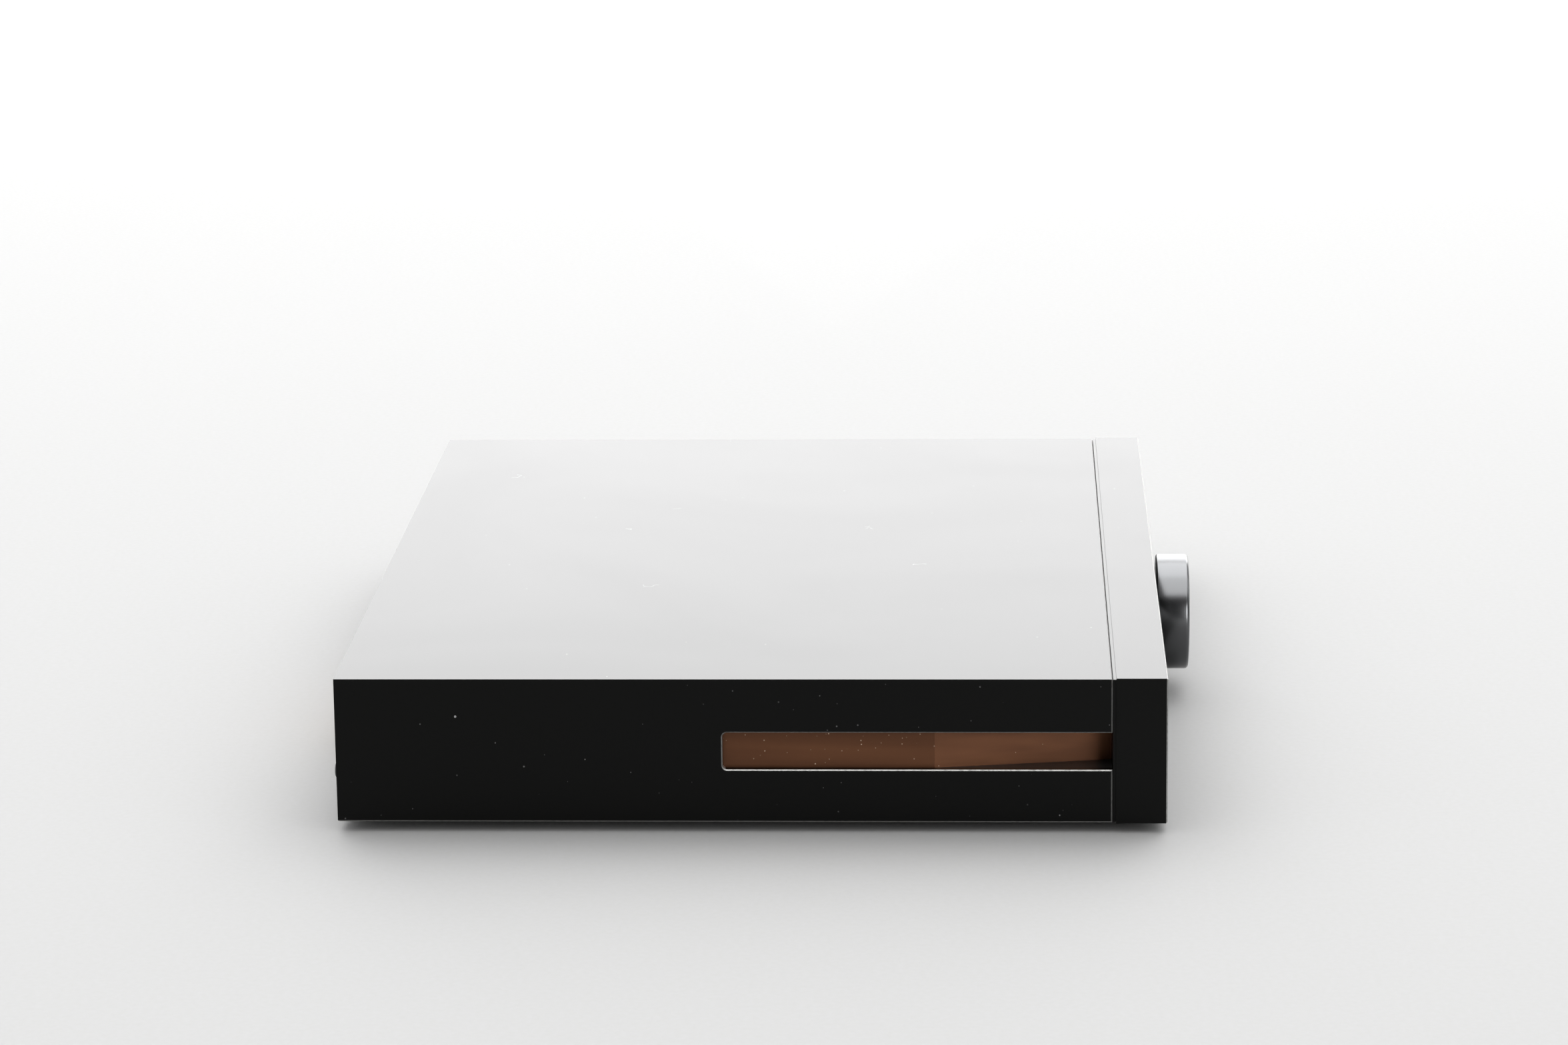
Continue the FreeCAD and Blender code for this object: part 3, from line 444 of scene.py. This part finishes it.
finishes = {
    "black_anodised": anodised("blackAnodised"),
    "copper_anodised": copperAnodised(),
    "dark_steel": powderCoat(),
    "zinc_steel": metal("zincSteel", (0.55, 0.56, 0.55, 1.0), 0.34, scale=300.0),
    "bright_steel": metal("brightSteel", (0.66, 0.66, 0.67, 1.0), 0.20, scale=1800.0),
    "black_plastic": plastic("blackPlastic", (0.014, 0.014, 0.015, 1.0), 0.44),
    "grey_plastic": plastic("greyPlastic", (0.09, 0.09, 0.095, 1.0), 0.5),
    "white_plastic": plastic("whitePlastic", (0.62, 0.60, 0.54, 1.0), 0.42),
    "smoked_window": smokedWindow(),
    "foot_rubber": plastic("footRubber", (0.055, 0.055, 0.058, 1.0), 0.68, scale=1500.0, depth=0.00008),
    "black_felt": felt(),
    "circuit_board": circuitBoard(),
    "gold_plate": metal("goldPlate", (0.86, 0.58, 0.22, 1.0), 0.18, scale=1500.0),
    "chip_black": plastic("chipBlack", (0.016, 0.016, 0.017, 1.0), 0.55),
    "can_sleeve": plastic("canSleeve", (0.012, 0.018, 0.045, 1.0), 0.28, coat=0.3),
    "tape_wound": plastic("tapeWound", (0.42, 0.30, 0.05, 1.0), 0.25, scale=400.0, coat=0.6),
    "lens_clear": clearLens(),
}
knobLow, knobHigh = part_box("knob")
turnedBlack = anodised("turnedBlack", centre=tuple((knobLow + knobHigh) / 2))

for part in frame["record"]["subparts"]:
    shown = frame["nodes"][part["node"]]
    shown.data.materials.clear()
    shown.data.materials.append(finishes[part["material_slot"]])
print("gave every frame piece its finish")


def boxInMm(node):
    low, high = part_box(node)
    return low / mm, high / mm


def endPiece(name, shape, finish, body, replaced=(), smoothBelow=35.0):
    # cleans the shape, turns its faces outwards and hangs it on its body
    bmesh.ops.remove_doubles(shape, verts=shape.verts, dist=weldReach)
    bmesh.ops.recalc_face_normals(shape, faces=shape.faces)
    mesh = bpy.data.meshes.new(name)
    shape.to_mesh(mesh)
    shape.free()
    mesh.shade_smooth()
    mesh.set_sharp_from_angle(angle=math.radians(smoothBelow))
    mesh.materials.append(finish)
    piece = bpy.data.objects.new(name, mesh)
    bpy.context.collection.objects.link(piece)
    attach(piece, body)
    if replaced:
        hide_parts(*replaced)
    return piece


def turn(shape, profile, centre, axis=(0, 1, 0), across=(1, 0, 0), steps=72):
    # profile is (radius, distance along the axis) in millimetres, the centre is in metres
    centre, axis, across = Vector(centre), Vector(axis), Vector(across)
    points = [shape.verts.new(centre + (across * radius + axis * along) * mm) for radius, along in profile]
    lines = [shape.edges.new(pair) for pair in zip(points, points[1:])]
    before = set(shape.faces)
    bmesh.ops.spin(shape, geom=points + lines, cent=centre, axis=axis, angle=2 * math.pi, steps=steps,
                   use_merge=True)
    made = [face for face in shape.faces if face not in before]
    bmesh.ops.remove_doubles(shape, verts=list({v for f in made for v in f.verts}), dist=weldReach)


def addBar(shape, low, high):
    # upright block between two corners in millimetres
    low, high = Vector(low) * mm, Vector(high) * mm
    made = bmesh.ops.create_cube(shape, size=1.0)["verts"]
    bmesh.ops.scale(shape, vec=high - low, verts=made)
    bmesh.ops.translate(shape, vec=(low + high) / 2, verts=made)
    return made


def standUp(shape, verts):
    # turns a flat shape to face along Y
    bmesh.ops.rotate(shape, verts=verts, cent=(0, 0, 0), matrix=Matrix.Rotation(math.radians(90), 3, "X"))


# the knob: slightly dished face inside a rounded rim
knobSizes = {"radius": 17.4, "depth": 9.7, "rim": 1.1, "rimSteps": 6, "land": 1.1, "slope": 0.5, "dish": 0.25,
             "rearEdge": 0.5, "rearSoft": 0.15, "bore": 8.0, "well": 2.0, "steps": 160, "smoothBelow": 24.0}


def addKnob():
    size, shape = knobSizes, bmesh.new()
    centre = Vector(((knobLow.x + knobHigh.x) / 2, knobLow.y, (knobLow.z + knobHigh.z) / 2))
    reach, rim, depth, dish = size["radius"], size["rim"], size["depth"], size["dish"]
    edge, soft, flat = size["rearEdge"], size["rearSoft"], reach - rim
    hollow = flat - size["land"]
    profile = [(0, dish), (hollow - size["slope"], dish), (hollow, 0.0), (flat, 0.0)]
    for step in range(1, size["rimSteps"] + 1):
        angle = math.radians(90 * step / size["rimSteps"])
        profile.append((flat + rim * math.sin(angle), rim - rim * math.cos(angle)))
    profile += [(reach, depth - edge), (reach - soft, depth - soft), (reach - edge, depth)]
    profile += [(size["bore"], depth), (size["bore"], depth - size["well"]), (0, depth - size["well"])]
    turn(shape, profile, centre, steps=size["steps"])
    endPiece("knobCap", shape, turnedBlack, "knob", ["knob"],
             smoothBelow=size["smoothBelow"])


# the feet: soft ring groove, sunk screw seat
footSizes = {
    "radius": 10.0, "seatDepth": 1.7,
    "profile": ((1.65, 3.0), (9.9, 3.0), (10.0, 2.7), (10.0, 1.7), (9.85, 1.05), (9.45, 0.45), (8.9, 0.1),
                (8.2, 0.0), (7.3, 0.0), (7.05, 0.1), (6.6, 0.5), (6.15, 0.1), (5.9, 0.0), (3.6, 0.0),
                (3.3, 0.3), (3.3, 1.7), (1.65, 1.7), (1.65, 3.0)),
}


def footPlaces():
    low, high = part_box("feet")
    reach = footSizes["radius"] * mm
    return [(x, y) for x in (low.x + reach, high.x - reach) for y in (low.y + reach, high.y - reach)]


def addFeet():
    shape = bmesh.new()
    for x, y in footPlaces():
        turn(shape, footSizes["profile"], (x, y, 0.0), axis=(0, 0, 1))
    endPiece("rubberFeet", shape, finishes["foot_rubber"], "casing", ["feet"])


# lit bars of the display: track number and time
displaySizes = {"text": "04 12:37", "start": -22.5, "step": 5.9, "digitHeight": 7.0, "digitWidth": 3.9,
                "stroke": 0.55, "gap": 0.65, "proud": 0.12, "lean": 0.08, "dot": 0.8, "dotRises": (0.3, 0.62)}
litBars = {"0": "abcdef", "1": "bc", "2": "abged", "3": "abgcd", "4": "fgbc", "5": "afgcd", "6": "afgedc",
           "7": "abc", "8": "abcdefg", "9": "abcdfg"}


def addDisplay():
    size, shape = displaySizes, bmesh.new()
    low, high = boxInMm("display_module")
    wide, tall, stroke = size["digitWidth"], size["digitHeight"], size["stroke"]
    base = (low.z + high.z) / 2 - tall / 2
    half, gap = tall / 2, stroke * size["gap"]
    upright = {"b": (wide, half), "c": (wide, 0), "e": (0, 0), "f": (0, half)}
    level = {"a": tall, "g": half, "d": 0}

    def bar(x0, x1, z0, z1):
        made = addBar(shape, (x0, low.y - size["proud"], z0), (x1, low.y, z1))
        for vert in made:
            vert.co.x += (vert.co.z - base * mm) * size["lean"]

    for place, sign in enumerate(size["text"]):
        x = (low.x + high.x) / 2 + size["start"] + place * size["step"]
        if sign == ":":
            middle, dot = x + wide / 2, size["dot"]
            for rise in size["dotRises"]:
                z = base + tall * rise
                bar(middle - dot / 2, middle + dot / 2, z, z + dot)
        for letter in litBars.get(sign, ""):
            if letter in upright:
                across, foot = upright[letter]
                side, foot = x + across, base + foot
                bar(side - stroke / 2, side + stroke / 2, foot + gap, foot + half - gap)
            else:
                z = base + level[letter]
                bar(x + gap, x + wide - gap, z - stroke / 2, z + stroke / 2)
    endPiece("displayBars", shape, displayLight(), "casing")


# engraved signs of the buttons and the rocker, filled with pale paint
signSizes = {
    "depth": 0.06, "line": 0.32,
    "eject": {"arm": 1.7, "squash": 0.8, "lift": 0.35, "barWide": 0.87, "barLow": 0.85, "barHigh": 0.6},
    "standby": {"radius": 1.45, "opening": 70.0, "stemLow": 0.2, "stemPast": 0.3},
}


def addRing(shape, centre, radius, line, depth, opening=0.0, steps=48):
    # flat ring facing along Y, with a gap at the top when it has an opening
    start, sweep = math.radians(90 + opening / 2), math.radians(360 - opening)
    first = Vector((math.cos(start), 0, math.sin(start)))
    inner, outer = radius - line / 2, radius + line / 2
    centre = Vector(centre) * mm
    verts = [shape.verts.new(centre + (first * arm + Vector((0, along, 0))) * mm)
             for arm, along in ((inner, 0), (outer, 0), (outer, depth), (inner, depth))]
    whole = opening == 0.0
    if whole:  # a closed ring has no end faces
        section = verts + [shape.edges.new(pair) for pair in zip(verts, verts[1:] + verts[:1])]
    else:
        end = shape.faces.new(verts)
        section = [end] + verts + list(end.edges)
    bmesh.ops.spin(shape, geom=section, cent=centre, axis=(0, -1, 0), angle=sweep, steps=steps,
                   use_merge=whole)


def faceCentre(node):
    low, high = boxInMm(node)
    return (low.x + high.x) / 2, low.y, (low.z + high.z) / 2


def addEjectSign():
    size, depth, shape = signSizes["eject"], signSizes["depth"], bmesh.new()
    x, y, z = faceCentre("eject_button")
    arm = size["arm"]
    made = bmesh.ops.create_cone(shape, cap_ends=True, segments=3, radius1=mm * arm, radius2=mm * arm,
                                 depth=mm * depth * 2)["verts"]
    standUp(shape, made)
    bmesh.ops.scale(shape, vec=(1, 1, size["squash"]), verts=made)
    bmesh.ops.translate(shape, vec=(mm * x, mm * y, mm * (z + size["lift"])), verts=made)
    wide, barLow, barHigh = arm * size["barWide"], z - arm * size["barLow"], z - arm * size["barHigh"]
    addBar(shape, (x - wide, y - depth, barLow), (x + wide, y + depth, barHigh))
    endPiece("ejectSign", shape, finishes["white_plastic"], "eject_button")


def addStandbySign():
    size, depth, line, shape = signSizes["standby"], signSizes["depth"], signSizes["line"], bmesh.new()
    x, y, z = faceCentre("standby_button")
    addRing(shape, (x, y - depth, z), size["radius"], line, 2 * depth, opening=size["opening"])
    addBar(shape, (x - line / 2, y - depth, z + size["stemLow"]),
           (x + line / 2, y + depth, z + size["radius"] + size["stemPast"]))
    endPiece("standbySign", shape, finishes["white_plastic"], "standby_button")


# phono sockets: gold shell on a coloured insulator, with the hole of its contact down the middle
phonoSizes = {
    "radius": 4.15, "reach": 11.0, "spacing": 20.0,
    "rough": 0.34, "grainScale": 1800.0, "grainDepth": 0.00002,
    "shell": ((3.45, 1.5), (5.5, 1.5), (5.5, 2.7), (5.2, 3.0), (4.15, 3.0), (4.15, 10.5), (4.0, 10.85),
              (3.8, 11.0), (3.55, 11.0), (3.45, 10.85), (3.45, 1.5)),
    "insulator": ((0, -2.0), (4.9, -2.0), (4.9, 0), (6.8, 0), (6.8, 1.1), (6.4, 1.5), (3.3, 1.5), (3.3, 9.7),
                  (3.0, 10.0), (2.1, 10.0), (1.65, 9.6), (1.65, 1.0), (0, 1.0)),
    "colours": {"Left": (0.62, 0.61, 0.57, 1.0), "Right": (0.36, 0.012, 0.010, 1.0),
                "Coax": (0.60, 0.17, 0.010, 1.0)},
}


def phonoPlaces():
    size = phonoSizes
    low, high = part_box("rca_barrels")
    left, coax = low.x + size["radius"] * mm, high.x - size["radius"] * mm
    rear, z = high.y - size["reach"] * mm, (low.z + high.z) / 2
    xs = {"Left": left, "Coax": coax, "Right": left + size["spacing"] * mm}
    return {side: Vector((x, rear, z)) for side, x in xs.items()}


def addPhonoSockets():
    size, shells = phonoSizes, bmesh.new()
    for side, centre in phonoPlaces().items():
        turn(shells, size["shell"], centre)
        shape = bmesh.new()
        turn(shape, size["insulator"], centre)
        body = plastic("phono" + side, size["colours"][side], size["rough"], scale=size["grainScale"],
                       depth=size["grainDepth"])
        endPiece("phonoInsulator" + side, shape, body, "casing", ["rca_bodies"])
    endPiece("phonoShells", shells, finishes["gold_plate"], "casing", ["rca_barrels"])


# cap screws: domed head with a hexagon socket, about an axis that runs out of the surface
screwShape = {"mouth": 1.25, "dome": ((0.72, 0.94), (0.93, 0.62), (1.0, 0.25), (1.0, 0.0)), "rimAbove": 0.9,
              "steps": 36}


def addCapScrew(shape, centre, axis, radius, height, socket, depth):
    head = bmesh.new()
    dome = [(socket * screwShape["mouth"], height)]
    dome += [(radius * out, height * up) for out, up in screwShape["dome"]]
    turn(head, dome, (0, 0, 0), axis=(0, 0, 1), steps=screwShape["steps"])
    top = height * screwShape["rimAbove"] * mm
    rim = [e for e in head.edges if e.is_boundary and all(v.co.z > top for v in e.verts)]
    ring = bmesh.ops.create_circle(head, segments=6, radius=mm * socket)["verts"]
    bmesh.ops.translate(head, verts=ring, vec=(0, 0, mm * height))
    hexagon = list({e for v in ring for e in v.link_edges})
    bmesh.ops.bridge_loops(head, edges=rim + hexagon)
    wall = bmesh.ops.extrude_edge_only(head, edges=hexagon)["geom"]
    floorVerts = [g for g in wall if isinstance(g, bmesh.types.BMVert)]
    bmesh.ops.translate(head, verts=floorVerts, vec=(0, 0, -mm * depth))
    floorEdges = [g for g in wall if isinstance(g, bmesh.types.BMEdge)
                  and all(v in floorVerts for v in g.verts)]
    bmesh.ops.contextual_create(head, geom=floorEdges)
    bmesh.ops.holes_fill(head, edges=[e for e in head.edges if e.is_boundary], sides=0)
    axis, across = Vector(axis), Vector((1, 0, 0))
    facing = Matrix((across, axis.cross(across), axis)).transposed().to_4x4()
    place = Matrix.Translation(Vector(centre) * mm) @ facing
    bmesh.ops.transform(head, matrix=place, verts=head.verts)
    made = bpy.data.meshes.new("screw")
    head.to_mesh(made)
    head.free()
    shape.from_mesh(made)
    bpy.data.meshes.remove(made)


# balanced sockets: flange screws, and an insulator with a key and collars round the pins
balancedSizes = {
    "halfFlange": 13.0, "screwAcross": 9.6, "screwUp": 12.2,
    "screw": {"radius": 2.5, "height": 1.3, "socket": 0.9, "depth": 0.9},
    "floor": 101.0, "thick": 2.2, "disc": ((0, 0.02), (8.95, 0.02), (8.95, 1.8), (8.55, 2.2), (0, 2.2)),
    "pins": ((-3.5, 2.0), (3.5, 2.0), (0.0, -3.8)), "collarSteps": 36,
    "collar": ((1.25, -0.1), (2.1, -0.1), (2.1, 0.5), (1.8, 0.8), (1.25, 0.8), (1.25, -0.1)),
    "keyHalf": 1.1, "keyInner": 0.1, "keyShort": 1.2, "keyLow": 7.2, "keyHigh": 8.8,
}


def addBalancedSockets():
    size = balancedSizes
    low, high = boxInMm("xlr_sockets")
    z, face, floor, half = (low.z + high.z) / 2, high.y, size["floor"], size["keyHalf"]
    screws, inserts = bmesh.new(), bmesh.new()
    for x in (low.x + size["halfFlange"], high.x - size["halfFlange"]):
        for side in (-1, 1):
            place = (x + side * size["screwAcross"], face, z + side * size["screwUp"])
            addCapScrew(screws, place, (0, 1, 0), **size["screw"])
        turn(inserts, size["disc"], Vector((x, floor, z)) * mm)
        for across, up in size["pins"]:
            place = Vector((x + across, floor + size["thick"], z + up)) * mm
            turn(inserts, size["collar"], place, steps=size["collarSteps"])
        addBar(inserts, (x - half, floor + size["keyInner"], z + size["keyLow"]),
               (x + half, face - size["keyShort"], z + size["keyHigh"]))
    endPiece("balancedScrews", screws, finishes["dark_steel"], "casing")
    endPiece("balancedInserts", inserts, finishes["black_plastic"], "casing")


# screws under the base: the case's own, and one in each foot
baseScrews = {"across": 144.9, "along": (-70.0, 10.0, 80.0), "level": 3.02,
              "caseScrew": {"radius": 2.55, "height": 0.25, "socket": 1.0, "depth": 0.9},
              "footScrew": {"radius": 2.9, "height": 1.2, "socket": 1.2, "depth": 0.9}}


def addBaseScrews():
    size, shape, down = baseScrews, bmesh.new(), (0, 0, -1)
    for x in (-size["across"], size["across"]):
        for y in size["along"]:
            addCapScrew(shape, (x, y, size["level"]), down, **size["caseScrew"])
    for x, y in footPlaces():
        addCapScrew(shape, (x / mm, y / mm, footSizes["seatDepth"]), down, **size["footScrew"])
    endPiece("baseScrews", shape, finishes["dark_steel"], "casing")


# signs of the power rocker: a bar on the upper half and a ring on the lower
rockerSizes = {"pinAlong": 112.0, "pinUp": 23.5, "face": 4.53, "rise": 4.2, "mark": 2.2, "sunk": 0.3,
               "slope": 8.45, "tilt": 9.0}


def addRockerSigns():
    size, line, depth, shape = rockerSizes, signSizes["line"], signSizes["depth"], bmesh.new()
    low, high = boxInMm("power_rocker")
    pin = Vector(((low.x + high.x) / 2, size["pinAlong"], size["pinUp"]))
    half, rise, face = size["mark"] / 2, size["rise"], pin.y + size["face"]
    bar = addBar(shape, (pin.x - line / 2, face - size["sunk"], pin.z + rise - half),
                 (pin.x + line / 2, face + depth, pin.z + rise + half))
    addRing(shape, (pin.x, face - size["sunk"], pin.z - rise), half, line, size["sunk"] + depth)
    ring = [v for v in shape.verts if v not in bar]
    for verts, height, lean in ((bar, rise, -1), (ring, -rise, 1)):
        spot = Vector((pin.x, face, pin.z + height)) * mm
        slope = Matrix.Rotation(math.radians(lean * size["slope"]), 3, "X")
        bmesh.ops.rotate(shape, verts=verts, cent=spot, matrix=slope)
    tilt = Matrix.Rotation(math.radians(-size["tilt"]), 3, "X")  # the rocker rests with its lower half in
    bmesh.ops.rotate(shape, verts=shape.verts, cent=pin * mm, matrix=tilt)
    endPiece("rockerSigns", shape, finishes["white_plastic"], "power_rocker")


# fine printed outlines round the groups of sockets, each from left to right and from low to high
printSizes = {"line": 0.28, "proud": 0.02, "corner": 2.0, "cornerSteps": 6,
              "groups": ((-134.0, -72.0, 5.4, 40.6), (-67.5, -28.5, 7.5, 34.0), (-20.0, 28.5, 7.5, 34.0))}


def addPanelPrint():
    size, shape = printSizes, bmesh.new()
    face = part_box("rear_panel")[1].y
    for x0, x1, z0, z1 in size["groups"]:
        verts = bmesh.ops.create_grid(shape, x_segments=1, y_segments=1, size=0.5)["verts"]
        bmesh.ops.scale(shape, vec=(mm * (x1 - x0), mm * (z1 - z0), 1), verts=verts)
        standUp(shape, verts)
        bmesh.ops.translate(shape, verts=verts, vec=(mm * (x0 + x1) / 2, face, mm * (z0 + z1) / 2))
        bmesh.ops.bevel(shape, geom=verts, offset=mm * size["corner"], offset_type="OFFSET",
                        affect="VERTICES", segments=size["cornerSteps"], profile=0.5, material=-1)
    whole = list(shape.faces)
    bmesh.ops.inset_region(shape, faces=whole, thickness=mm * size["line"], use_even_offset=True,
                           use_boundary=True)
    bmesh.ops.delete(shape, geom=whole, context="FACES")
    risen = bmesh.ops.extrude_face_region(shape, geom=shape.faces[:])["geom"]
    bmesh.ops.translate(shape, verts=[g for g in risen if isinstance(g, bmesh.types.BMVert)],
                        vec=(0, mm * size["proud"], 0))
    endPiece("panelPrint", shape, finishes["white_plastic"], "casing")


addKnob()
addFeet()
addDisplay()
addEjectSign()
addStandbySign()
print("made the knob, feet, display and signs")
addPhonoSockets()
addBalancedSockets()
addBaseScrews()
addRockerSigns()
addPanelPrint()
print("made the details of the rear and the underside")

# stage, light and camera
studio = {
    "floorSize": 12.0, "floorColour": (0.625, 0.625, 0.62, 1.0), "floorLight": grey(0.64),
    "paperScale": 9000.0, "paperRough": 0.9, "target": (0.0, 0.0, 0.03),
    "backdropLevel": 1.15, "fillLevel": 0.62, "darkLevel": 0.02, "brightLevel": 0.75,
    "darkUpTo": -0.6, "brightFrom": 0.35,
}
panels = {
    "farPanel": {"size": (3.6, 2.1), "place": (2.6, 0.0, 1.1), "power": 88.0, "glossOnly": True},
    "topPanel": {"size": (4.5, 6.0), "place": (2.1, 0.0, 2.4), "power": 112.0, "glossOnly": False},
    "glossPanel": {"size": (2.9, 2.5), "place": (-0.03, 0.0, 1.35), "power": 88.0, "glossOnly": True},
    "slantPanel": {"size": (1.0, 0.7), "place": (-1.4, -0.95, 0.35), "power": 16.0, "glossOnly": True},
    "frontPanel": {"size": (1.2, 0.6), "place": (0.3, -2.2, 1.1), "power": 6.0, "glossOnly": True},
    "rearPanel": {"size": (1.2, 0.6), "place": (0.3, 2.2, 1.1), "power": 6.0, "glossOnly": True},
}
cameraView = {"azimuth": 272.56, "elevation": 13.66, "roll": -0.67, "lens": 113.4, "sensor": 36.0,
              "distance": 1.3473, "aim": (-0.15, -0.0101, 0.0884)}


def addFloor():
    shape = bmesh.new()
    bmesh.ops.create_grid(shape, x_segments=1, y_segments=1, size=studio["floorSize"] / 2)
    mesh = bpy.data.meshes.new("floor")
    shape.to_mesh(mesh)
    shape.free()
    floor = bpy.data.objects.new("floor", mesh)
    bpy.context.collection.objects.link(floor)
    made, tree, surface = startMaterial("floorPaper")
    paper = useGroup(tree, grain, scale=studio["paperScale"])
    base = mixColour(tree, paper["tone"], studio["floorColour"], studio["floorLight"])
    feed(tree, surface, base=base, rough=studio["paperRough"])
    mesh.materials.append(made)


def addPanel(name, panel):
    # soft light that faces the target and isn't seen itself
    light = bpy.data.lights.new(name, "AREA")
    light.shape = "RECTANGLE"
    light.size, light.size_y = panel["size"]
    light.energy = panel["power"]
    lamp = bpy.data.objects.new(name, light)
    lamp.location = panel["place"]
    facing = Vector(studio["target"]) - Vector(panel["place"])
    lamp.rotation_euler = facing.to_track_quat("-Z", "Y").to_euler()
    lamp.visible_camera = False
    lamp.visible_diffuse = not panel["glossOnly"]
    bpy.context.collection.objects.link(lamp)


def addWorld():
    # the eye sees white paper all round; gloss sees a room that is dark on the near side only
    world = bpy.data.worlds.new("studio")
    bpy.context.scene.world = world
    world.use_nodes = True
    tree = world.node_tree
    rays = addNode(tree, "LightPath").outputs
    way = addNode(tree, "SeparateXYZ", {0: addNode(tree, "TexCoord").outputs["Generated"]}).outputs
    side = spread(tree, way[0], studio["darkUpTo"], studio["brightFrom"], studio["darkLevel"],
                  studio["brightLevel"])
    level = mixColour(tree, rays["Is Glossy Ray"], grey(studio["fillLevel"]), side)
    level = mixColour(tree, rays["Is Camera Ray"], level, grey(studio["backdropLevel"]))
    tree.links.new(level, tree.nodes["Background"].inputs["Color"])


def addCamera():
    view = cameraView
    azimuth, elevation = math.radians(view["azimuth"]), math.radians(view["elevation"])
    flat = math.cos(elevation)
    back = Vector((math.sin(azimuth) * flat, -math.cos(azimuth) * flat, math.sin(elevation)))
    lens = bpy.data.cameras.new("camera")
    lens.lens = view["lens"]
    lens.sensor_width = view["sensor"]
    camera = bpy.data.objects.new("camera", lens)
    camera.location = Vector(view["aim"]) + back * view["distance"]
    roll = Matrix.Rotation(math.radians(view["roll"]), 3, "Z")
    camera.rotation_euler = ((-back).to_track_quat("-Z", "Y").to_matrix() @ roll).to_euler()
    bpy.context.collection.objects.link(camera)
    bpy.context.scene.camera = camera


addFloor()
for panelName, panel in panels.items():
    addPanel(panelName, panel)
addWorld()
addCamera()
bpy.context.scene.view_settings.view_transform = "Standard"
print("set the stage, the lights and the camera")
